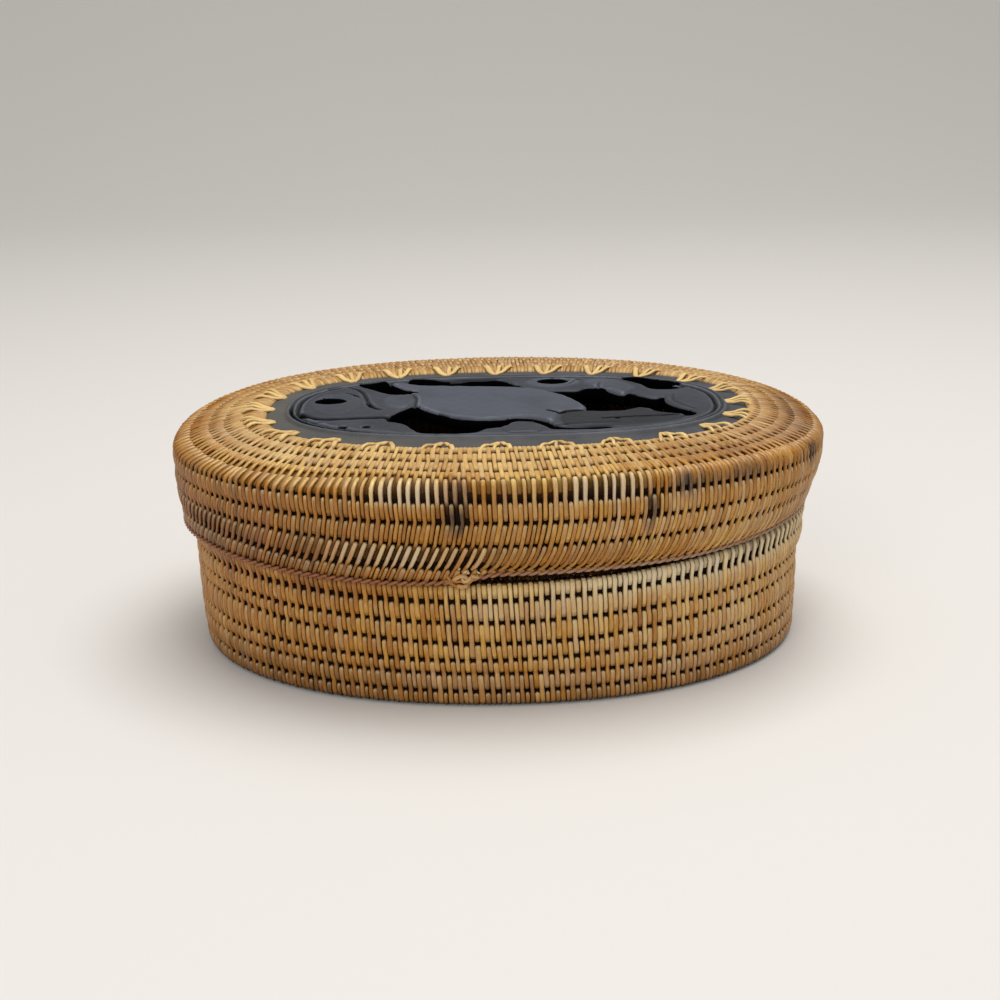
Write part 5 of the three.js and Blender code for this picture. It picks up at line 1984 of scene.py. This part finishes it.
@dataclass
class CarvedPanel:
    """The pierced wooden oval: a plate whose upper face is a height over a fine grid."""

    sizes: BoxSizes
    thickness: float = 3.6
    brink_depth: float = 0.3
    cell: float = 0.52
    ridge_inset: float = 6.8
    ridge_side_inset: float = 10.0
    ridge_width: float = 3.0
    ridge_height: float = RIDGE_HEIGHT
    channel: float = 1.2
    field_rise: float = 0.7
    form_rise: float = 1.1
    figure_shift: Point = (0.1, 1.2)
    worn_edge: float = 0.55
    spot_depth: float = 1.3
    field_painted_light_level: float = 0.53
    probe: float = 0.05
    snap_reach: float = 0.62
    slack: float = 0.06
    least_area: float = 0.004

    @property
    def field_half(self) -> Point:
        """Half sizes of the field inside the ridge."""
        return (
            self.sizes.panel_half_length - self.ridge_inset - self.ridge_width,
            self.sizes.panel_half_width - self.ridge_side_inset - self.ridge_width,
        )

    @property
    def field_centre(self) -> Point:
        """The middle of the figure."""
        return (self.sizes.panel_shift + self.figure_shift[0], self.figure_shift[1])

    def oval_gap(self, x: Array, y: Array, inset: float = 0.0, side_inset: float = 0.0) -> Array:
        """About how far inside an inset oval points lie, negative outside it.

        It is one less the superellipse's own measure, over that measure's slope.
        """
        half_x = self.sizes.panel_half_length - inset
        half_y = self.sizes.panel_half_width - side_inset
        power = 2 / PANEL_ROUNDNESS
        u, v = np.abs(x - self.sizes.panel_shift) / half_x, np.abs(y) / half_y
        measure = (u**power + v**power) ** (1 / power) + 1e-9
        slope = np.hypot(
            (u / measure) ** (power - 1) / half_x, (v / measure) ** (power - 1) / half_y)
        return (1 - measure) / np.maximum(slope, 1e-6)

    def ridge_gap(self, x: Array, y: Array) -> Array:
        """About how far inside the ridge's outer side points lie."""
        return self.oval_gap(x, y, self.ridge_inset, self.ridge_side_inset)

    def gap_to(self, form: Outline | Ellipse, x: Array, y: Array) -> Array:
        """How far points lie from one of the figure's forms, negative inside a closed one."""
        return distance_to(form.path(self.field_half, self.field_centre), x, y, form.closed)

    def heights(self, x: Array, y: Array, openings: Array, edge: Array) -> Array:
        """How high the carving stands above the flange.

        The ridge is a low band with soft sides and a crease along its middle, the field a step
        inside a channel, and the forms rise from it with soft shoulders. Edges beside openings
        are worn round, and grooves are narrow bell curves.

        Args:
            x: Where the points lie along the panel.
            y: Where they lie across it.
            openings: How far they lie from the nearest opening.
            edge: How far inside the panel's edge they lie.

        Returns:
            Their heights.
        """
        ridge_gap, width = self.ridge_gap(x, y), self.ridge_width
        across = ridge_gap / width
        crease = 1 - 0.35 * bell((across - 0.5) * width, 0.5)
        height = soft_step(0.5 + np.minimum(across, 1 - across) * width / 1.8) * crease
        height = height * self.ridge_height
        inner = ridge_gap - width - self.channel
        step = soft_step(inner / 0.8 + 0.5)
        rise = self.field_rise * step
        for form in FORMS:
            swell = np.clip(-self.gap_to(form.outline, x, y) / 2.4 + 0.3, 0, 1)
            rise = np.maximum(rise, self.form_rise * swell * (2 - swell) * step)
        height = np.where(inner > -0.6, rise, height)
        height = height - self.worn_edge * np.exp(-np.maximum(openings, 0) / 0.7) * (inner > -0.6)
        height = height - self.worn_edge * np.exp(-np.maximum(edge, 0) / 0.8)
        for groove in GROOVES:
            gap = self.gap_to(groove.outline(), x, y)
            height = height - groove.depth * bell(gap, groove.width)
            height = height + groove.lip * bell(gap - 2.2 * groove.width, 0.4)
        for spot in SPOTS:
            height = height - self.spot_depth * np.clip(0.5 - self.gap_to(spot, x, y) / 0.8, 0, 1)
        left = np.clip((-x - 30) / 25, 0, 1)
        for side, deep in ((width / 2, 0.2 + 0.5 * left * (y < 4)), (width + 0.5, 0.4)):
            height = height - deep * bell(ridge_gap - side, 0.6)
        height = height + 0.3 * left * bell(inner - 1.1, 0.5)
        waves = 0.05 * np.sin(x * 0.9 + 0.7 * np.sin(y * 0.6)) * np.sin(y * 0.8 + 0.5 * np.sin(x * 0.4))
        return height + waves

    def blackness(self, x: Array, y: Array) -> Array:
        """How far painted shade blackens the carved lines and the hollows by the ridge, 0 to 1."""
        black = np.zeros(x.shape)
        for groove in GROOVES:
            near = bell(self.gap_to(groove.outline(), x, y), 1.3 * groove.width, 4)
            black = np.maximum(black, groove.black * near)
        for spot in SPOTS:
            black = np.maximum(black, np.clip(1.2 - self.gap_to(spot, x, y) / 0.5, 0, 1))
        ridge_gap = self.ridge_gap(x, y)
        lower_left = np.clip((-x - 28) / 20, 0, 1) * np.clip((4 - y) / 8, 0, 1)
        for side, amount, wide in (
            (self.ridge_width / 2, 0.2 + 0.8 * lower_left, 0.45 + 0.4 * lower_left),
            (self.ridge_width + 0.7, 0.45, 0.7),
        ):
            black = np.maximum(black, amount * bell(ridge_gap - side, wide, 4))
        return black

    def painted_light_level(self, x: Array, y: Array) -> Array:
        """Painted light: how bright each point is painted; each form has its own, the field less."""
        painted_light_level = np.full(x.shape, self.field_painted_light_level)
        for form in FORMS:
            painted_light_level = painted_light_level + (form.painted_light_level - painted_light_level) * np.clip(0.5 - self.gap_to(form.outline, x, y), 0, 1)
        return painted_light_level + (0.7 - painted_light_level) * np.clip(0.5 - self.ridge_gap(x, y), 0, 1)

    def mesh(self) -> MeshData:
        """The plate's mesh.

        Grid points near an opening's outline or the plate's edge are moved onto it, triangles
        outside are left out, the lower face repeats the upper one, and walls join their rims.
        """
        half_x, half_y = self.sizes.panel_half_length + 1, self.sizes.panel_half_width + 1
        shift = self.sizes.panel_shift
        xs = np.arange(shift - half_x, shift + half_x + self.cell, self.cell)
        ys = np.arange(-half_y, half_y + self.cell, self.cell)
        x, y = np.meshgrid(xs, ys)
        paths = [opening.path(self.field_half, self.field_centre) for opening in OPENINGS]

        def open_gap(px: Array, py: Array) -> Array:
            """Distance to the nearest opening, negative inside one."""
            return np.min([distance_to(path, px, py) for path in paths], axis=0)

        for _ in range(2):
            gap = np.minimum(open_gap(x, y), self.oval_gap(x, y))
            gap_x = np.minimum(open_gap(x + self.probe, y), self.oval_gap(x + self.probe, y))
            gap_y = np.minimum(open_gap(x, y + self.probe), self.oval_gap(x, y + self.probe))
            slope = unit(np.stack([gap_x - gap, gap_y - gap], -1))
            near = np.abs(gap) < self.snap_reach * self.cell
            x = np.where(near, x - gap * slope[..., 0], x)
            y = np.where(near, y - gap * slope[..., 1], y)
        openings, edge = open_gap(x, y), self.oval_gap(x, y)
        keep = np.minimum(openings, edge) > -self.slack
        rows, columns = x.shape
        carving = self.heights(x, y, openings, edge)
        around = sum(np.roll(carving, step, axis) for step in (-2, 2) for axis in (0, 1)) / 4
        # Relief paints shade in hollows and highlight on ridges; opening edges are pale, as wear and
        # painted highlight.
        relief = np.clip(0.5 + 1.3 * (carving - around), 0, 1)
        relief = np.where(np.abs(openings) < 0.3, 0.74, relief)
        index = np.arange(rows * columns).reshape(rows, columns)
        a, b = index[:-1, :-1], index[:-1, 1:]
        c, d = index[1:, 1:], index[1:, :-1]
        turn = (np.add.outer(np.arange(rows - 1), np.arange(columns - 1)) % 2).astype(bool)
        first = np.where(turn[..., None], np.stack([a, b, c], -1), np.stack([a, b, d], -1))
        second = np.where(turn[..., None], np.stack([a, c, d], -1), np.stack([b, c, d], -1))
        faces = np.concatenate([first.reshape(-1, 3), second.reshape(-1, 3)])
        faces = faces[keep.reshape(-1)[faces].all(1)]
        flat_x, flat_y = x.reshape(-1), y.reshape(-1)
        area = np.abs(
            (flat_x[faces[:, 1]] - flat_x[faces[:, 0]]) * (flat_y[faces[:, 2]] - flat_y[faces[:, 0]])
            - (flat_x[faces[:, 2]] - flat_x[faces[:, 0]]) * (flat_y[faces[:, 1]] - flat_y[faces[:, 0]]))
        faces = faces[area > self.least_area]
        used, faces = np.unique(faces, return_inverse=True)
        faces = faces.reshape(-1, 3)
        x, y = flat_x[used], flat_y[used]
        top = self.sizes.flange_top + carving.reshape(-1)[used]
        count = len(x)
        upper = np.stack([x, y, top], -1)
        lower = np.stack([x, y, np.full(count, self.sizes.flange_top - self.thickness)], -1)
        tone = np.zeros((2 * count, 4))
        tone[:count, 0] = relief.reshape(-1)[used]
        tone[:, 1] = np.concatenate([self.blackness(x, y), np.ones(count)])
        tone[:count, 2] = self.painted_light_level(x, y)
        tone[:count, 3] = np.clip(0.5 - self.ridge_gap(x, y), 0, 1) * np.clip(0.75 - x / 120, 0.3, 1)
        rims = np.concatenate([faces[:, [0, 1]], faces[:, [1, 2]], faces[:, [2, 0]]])
        codes = rims[:, 0] * count + rims[:, 1]
        lone = ~np.isin(codes, rims[:, 1] * count + rims[:, 0])
        rims = rims[lone]
        brink = np.unique(rims)
        place = np.full(count, -1)
        place[brink] = np.arange(len(brink)) + 2 * count
        below = upper[brink].copy()
        below[:, 2] -= self.brink_depth
        brink_tone = tone[brink].copy()
        brink_tone[:, 1] = 1.0
        first, second = rims[:, 0], rims[:, 1]
        upper_walls = np.stack([second, first, place[first], place[second]], -1)
        lower_walls = np.stack([place[second], place[first], first + count, second + count], -1)
        loops = np.concatenate([
            faces.reshape(-1), (faces[:, ::-1] + count).reshape(-1), upper_walls.reshape(-1),
            lower_walls.reshape(-1)])
        sizes = np.concatenate([np.full(2 * len(faces), 3), np.full(2 * len(rims), 4)])
        points = np.concatenate([upper, lower, below])
        return MeshData(points, loops, sizes, tone=np.concatenate([tone, brink_tone]))

    def build(self, finishes: "Finishes") -> None:
        """Makes the panel."""
        make_piece(
            "carved_panel_surface", self.mesh(), Body.LID, Slot.WOOD, finishes.wood, ("carved_panel",))


# Lashings


LASHING_STATIONS = np.array([
    (-.2, -.9), (.1, .1), (1, .28), (2.6, .32), (4.2, .5), (5.4, .95),
    (7, 1.35), (8.4, 1.2), (9.4, .7), (10, 0),
])
LASHING_WIDTHS = np.array([0.6, 0.75, 0.9, 1, 1, 1, 1, 1, 0.95, 0.8])
LASHING_STRANDS = ((-5.2, .9, .85, 0), (-1.3, 1, .8, .9), (2.9, .75, 1.15, 0))


@dataclass
class Lashings:
    """The fans of strands that tie the panel to the hoop.

    Each of a fan's strands has a lean in millimetres, a power by which it bends on its way, a
    width over the usual, and how far out of the hole it starts.
    """

    sizes: BoxSizes
    count: int = 24
    reach: float = 5.2
    width: float = 1.5
    thickness: float = 0.36
    seed: int = 5

    def build(self, finishes: "Finishes") -> None:
        """Makes three strands a fan: one leaning each way, and a short one between them.

        A strand comes up out of its hole, runs out over the flange and bows over the hoop.
        """
        chance = np.random.default_rng(self.seed)
        panel = OvalRings(
            self.sizes.panel_half_length, self.sizes.panel_half_width, PANEL_ROUNDNESS)
        share, step = np.arange(self.count) / self.count, 0.0005
        ways = (share, share + step, share - step)
        hole, ahead, behind = (
            np.stack([*panel.point(way, np.full(self.count, self.reach)), np.zeros(self.count)], -1)
            for way in ways)
        along = unit(ahead - behind)
        out = np.stack([along[:, 1], -along[:, 0], np.zeros(self.count)], -1)
        up = np.array([0, 0, 1.0])
        fuller = 1 + 0.55 * np.clip(np.sin(np.pi * (share - 0.3) / 0.62), 0, 1)
        parts = []
        for lean, bend, wide, late in LASHING_STRANDS:
            sway = chance.normal(0, 0.3, self.count)
            strayed = LASHING_STATIONS[None, :, 0] + chance.normal(0, 0.2, self.count)[:, None]
            reach = np.maximum(strayed, late)
            spread = np.clip(reach / 8.5, 0, 1.1) ** bend
            side = (lean + sway)[:, None] * spread + 0.3 * np.sign(lean)
            base = hole[:, None] + out[:, None] * reach[..., None] + along[:, None] * side[..., None]
            base[..., 2] = self.sizes.flange_top + LASHING_STATIONS[None, :, 1]
            normal = np.zeros_like(base)
            normal[..., 2] = 1.0
            normal[:, 0] = unit(up - out)
            normal[:, -1] = unit(up + out)
            widths = self.width * wide * LASHING_WIDTHS * fuller[:, None]
            data = strip_bodies(
                base, normal, widths, np.full(base.shape[:2], self.thickness), chance)
            tone = 0.86 + 0.06 * chance.normal(0, 1, (self.count, 1, 1, 1))
            data.tone = np.concatenate([
                np.broadcast_to(tone, data.section.shape + (1,)),
                np.full(data.section.shape + (1,), 0.45), np.zeros(data.section.shape + (2,))], -1)
            parts.append(data.mesh())
        nodes = [f"panel_lashing_{number:02d}" for number in range(1, self.count + 1)]
        make_piece(
            "panel_lashing_strands", MeshData.joined(parts).outward(), Body.LID, Slot.TOP_CANE,
            finishes.top_cane, tuple(nodes))


# Inside


@dataclass
class WovenInside:
    """The strips round the collar and over the floor's coils, on the frame's own solids."""

    pitch: float = 3.1
    valley: float = 0.5
    floor_rows: int = 10
    floor_core: float = 68.0
    seed: int = 31

    def count(self, rings: OvalRings, inset: float) -> int:
        """How many strips fit once round an oval at an inset."""
        return round(running_share(*rings.point(SHARES, np.full(len(SHARES), inset)))[1] / self.pitch)

    def collar(self) -> Band:
        """Three rows: the first starts on the collar's inner face and goes over its top."""
        low, high = (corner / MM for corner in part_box("base_collar"))
        rings = OvalRings(high.x, high.y, ROUNDNESS)
        row = (high.z - low.z) / 3
        hole = steady(1.0)
        edges = [
            Edge(steady(inset), steady(height), self.count(rings, 0.0), 0.1, hole)
            for inset, height in (
                (3.5, high.z - 0.8), (self.valley, high.z - row), (self.valley, low.z + row),
                (self.valley, low.z + 0.2))
        ]
        over = Row(0, corner_inset=steady(-0.8), corner_height=steady(high.z + 3),
                   corner_pull=(0.75, 0.75))
        return Band(rings, edges, [over, Row(0.7), Row(0.7)], self.seed)

    def floor(self) -> Band:
        """Rows one round another, from the floor's straight core out to the wall."""
        _, high = (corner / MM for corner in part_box("base_floor"))
        rings = OvalRings(high.x, high.y, ROUNDNESS, self.floor_core)
        hole, height = steady(1.2), steady(high.z - 0.1)
        edges = [
            Edge(steady(inset), height, self.count(rings, inset), 0.1, hole)
            for inset in np.linspace(self.floor_core, 1.5, self.floor_rows + 1)
        ]
        return Band(rings, edges, [Row(self.valley) for _ in range(self.floor_rows)], self.seed + 1)

    def build(self, finishes: "Finishes") -> None:
        """Makes both layers of strips, darker than those outside, as painted shade in the box."""
        warmth = steady(0.58)
        # Painted shade: the collar's lower rows, seen in the gap under the lid, are blackened.
        collar = ToneMap(
            steady(0.32), warmth, caps=0.5, painted_shade_by_level=((0, 0), (1.9, 0.0), (2.3, 0.9), (3, 1.0)))
        # The floor is painted dark as painted shade inside the box.
        floor = ToneMap(steady(0.12), steady(0.5), caps=0.2)
        for name, band, tones in (
            ("base_collar_strips", self.collar(), collar), ("base_floor_strips", self.floor(), floor),
        ):
            make_piece(name, band.strips(tones), Body.BASE, Slot.BASE_CANE, finishes.base_cane)


def dress_hidden_nodes(finishes: Finishes) -> None:
    """Gives the nodes that stay their finish."""
    for name in ("base_floor", "base_collar"):
        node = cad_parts[name]
        node.data.materials.clear()
        node.data.materials.append(finishes.inner_cane)


def main() -> None:
    """Builds everything in order."""
    logging.basicConfig(level=logging.INFO, format="%(name)s: %(message)s")
    sizes = BoxSizes.from_frame()
    finishes = Finishes()
    Studio().build()
    WovenBase(sizes).build(finishes)
    lid = WovenLid(sizes)
    lid.build(finishes)
    RimCord(lid).build(finishes)
    RimKnot(lid).build(finishes)
    CarvedPanel(sizes).build(finishes)
    Lashings(sizes).build(finishes)
    WovenInside().build(finishes)
    dress_hidden_nodes(finishes)


if __name__ == "__main__":
    main()
